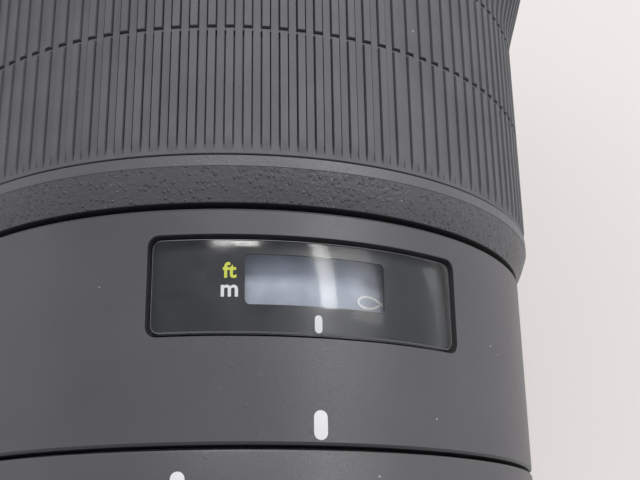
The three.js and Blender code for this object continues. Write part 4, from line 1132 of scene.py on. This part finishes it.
def floor():
    p = floorPart
    material, tree, shader = newMaterial("floorPaper", Roughness=0.9)
    dull = tuple(c * p["fade"] for c in p["colour"])
    tint = blendColour(tree, ramp(tree, noiseOf(tree, p["patch"], 3), 0, 1), dull, p["colour"])
    tree.links.new(tint, shader.inputs["Base Color"])
    half, level = p["size"] / 2, p["level"]
    corners = [(-half, -half, level), (half, -half, level), (half, half, level), (-half, half, level)]
    mesh = bpy.data.meshes.new("floor")
    mesh.from_pydata(corners, [], [(0, 1, 2, 3)])
    mesh.materials.append(material)
    item = bpy.data.objects.new("floor", mesh)
    scene.collection.objects.link(item)


roomLight = dict(colour=(0.84, 0.855, 0.94), strength=0.60)
warm = (1.0, 0.98, 0.96)
lamps = (
    dict(name="strip", way=(0.61, 0.36, 0.70), reach=1.1, width=0.11, length=0.75, power=3.8, colour=warm,
         shineOnly=True),
    dict(name="panelNear", way=(0.78, 0.30, 0.54), reach=1.1, width=0.24, length=0.8, power=1.6, colour=warm,
         shineOnly=True),
    dict(name="panelFar", way=(0.99, 0.1, 0.02), reach=1.1, width=0.12, length=0.8, power=0.45,
         colour=(0.97, 0.98, 1.0), shineOnly=True),
    dict(name="window", way=(0.76, 0.42, 0.50), reach=1.3, width=0.06, length=0.06, power=2.6,
         colour=(0.96, 0.98, 1.0), mirrored=False),
    dict(name="front", way=(0.10, 0.66, 0.72), reach=2.7, width=0.7, length=0.6, power=34,
         colour=(1.0, 0.975, 0.95)),
    dict(name="sideFill", way=(-0.93, 0.15, 0.36), reach=1.2, width=0.25, length=0.8, power=0.8,
         colour=(0.98, 0.98, 1.0)),
)


# Stands a lamp or the camera at a spot, looking against the third of its axes.
def stand(item, spot, axes):
    item.matrix_world = Matrix.Translation(spot) @ Matrix(axes).transposed().to_4x4()


def light():
    world = bpy.data.worlds.new("room")
    scene.world = world
    world.use_nodes = True
    back = world.node_tree.nodes["Background"]
    back.inputs["Color"].default_value = (*roomLight["colour"], 1)
    back.inputs["Strength"].default_value = roomLight["strength"]
    for lamp in lamps:
        data = bpy.data.lights.new(lamp["name"], "AREA")
        data.shape = "RECTANGLE"
        data.size = lamp["width"]
        data.size_y = lamp["length"]
        data.energy = lamp["power"]
        data.color = lamp["colour"]
        item = bpy.data.objects.new(lamp["name"], data)
        item.visible_glossy = lamp.get("mirrored", True)
        item.visible_diffuse = not lamp.get("shineOnly", False)
        scene.collection.objects.link(item)
        way = Vector(lamp["way"]).normalized()
        across = Vector((0, 1, 0)).cross(way).normalized()
        stand(item, lensAxis + way * lamp["reach"], (across, way.cross(across), way))


# The camera looks down on the distance window from a little to its right.
cameraView = dict(swing=7.9, away=176.8, back=-16.1, lens=58.07, sensor=36, near=0.01, roll=0.94,
                  forward=(-0.0493, 0.3164, -0.9474))


def camera():
    v = cameraView
    data = bpy.data.cameras.new("camera")
    data.sensor_width = v["sensor"]
    data.lens = v["lens"]
    data.clip_start = v["near"]
    item = bpy.data.objects.new("camera", data)
    scene.collection.objects.link(item)
    seam = Vector((lensAxis.x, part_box("collar_ring")[1].y + 0.3 * mm, lensAxis.z))
    swing = math.radians(v["swing"])
    spot = seam + Vector((math.sin(swing), 0, math.cos(swing))) * v["away"] * mm + Vector((0, v["back"] * mm, 0))
    forward = Vector(v["forward"]).normalized()
    right = forward.cross(Vector((0, 1, 0))).normalized()
    right = Matrix.Rotation(math.radians(v["roll"]), 3, forward) @ right
    stand(item, spot, (right, right.cross(forward), -forward))
    scene.camera = item


floor()
light()
camera()
print("floor, light and camera set")
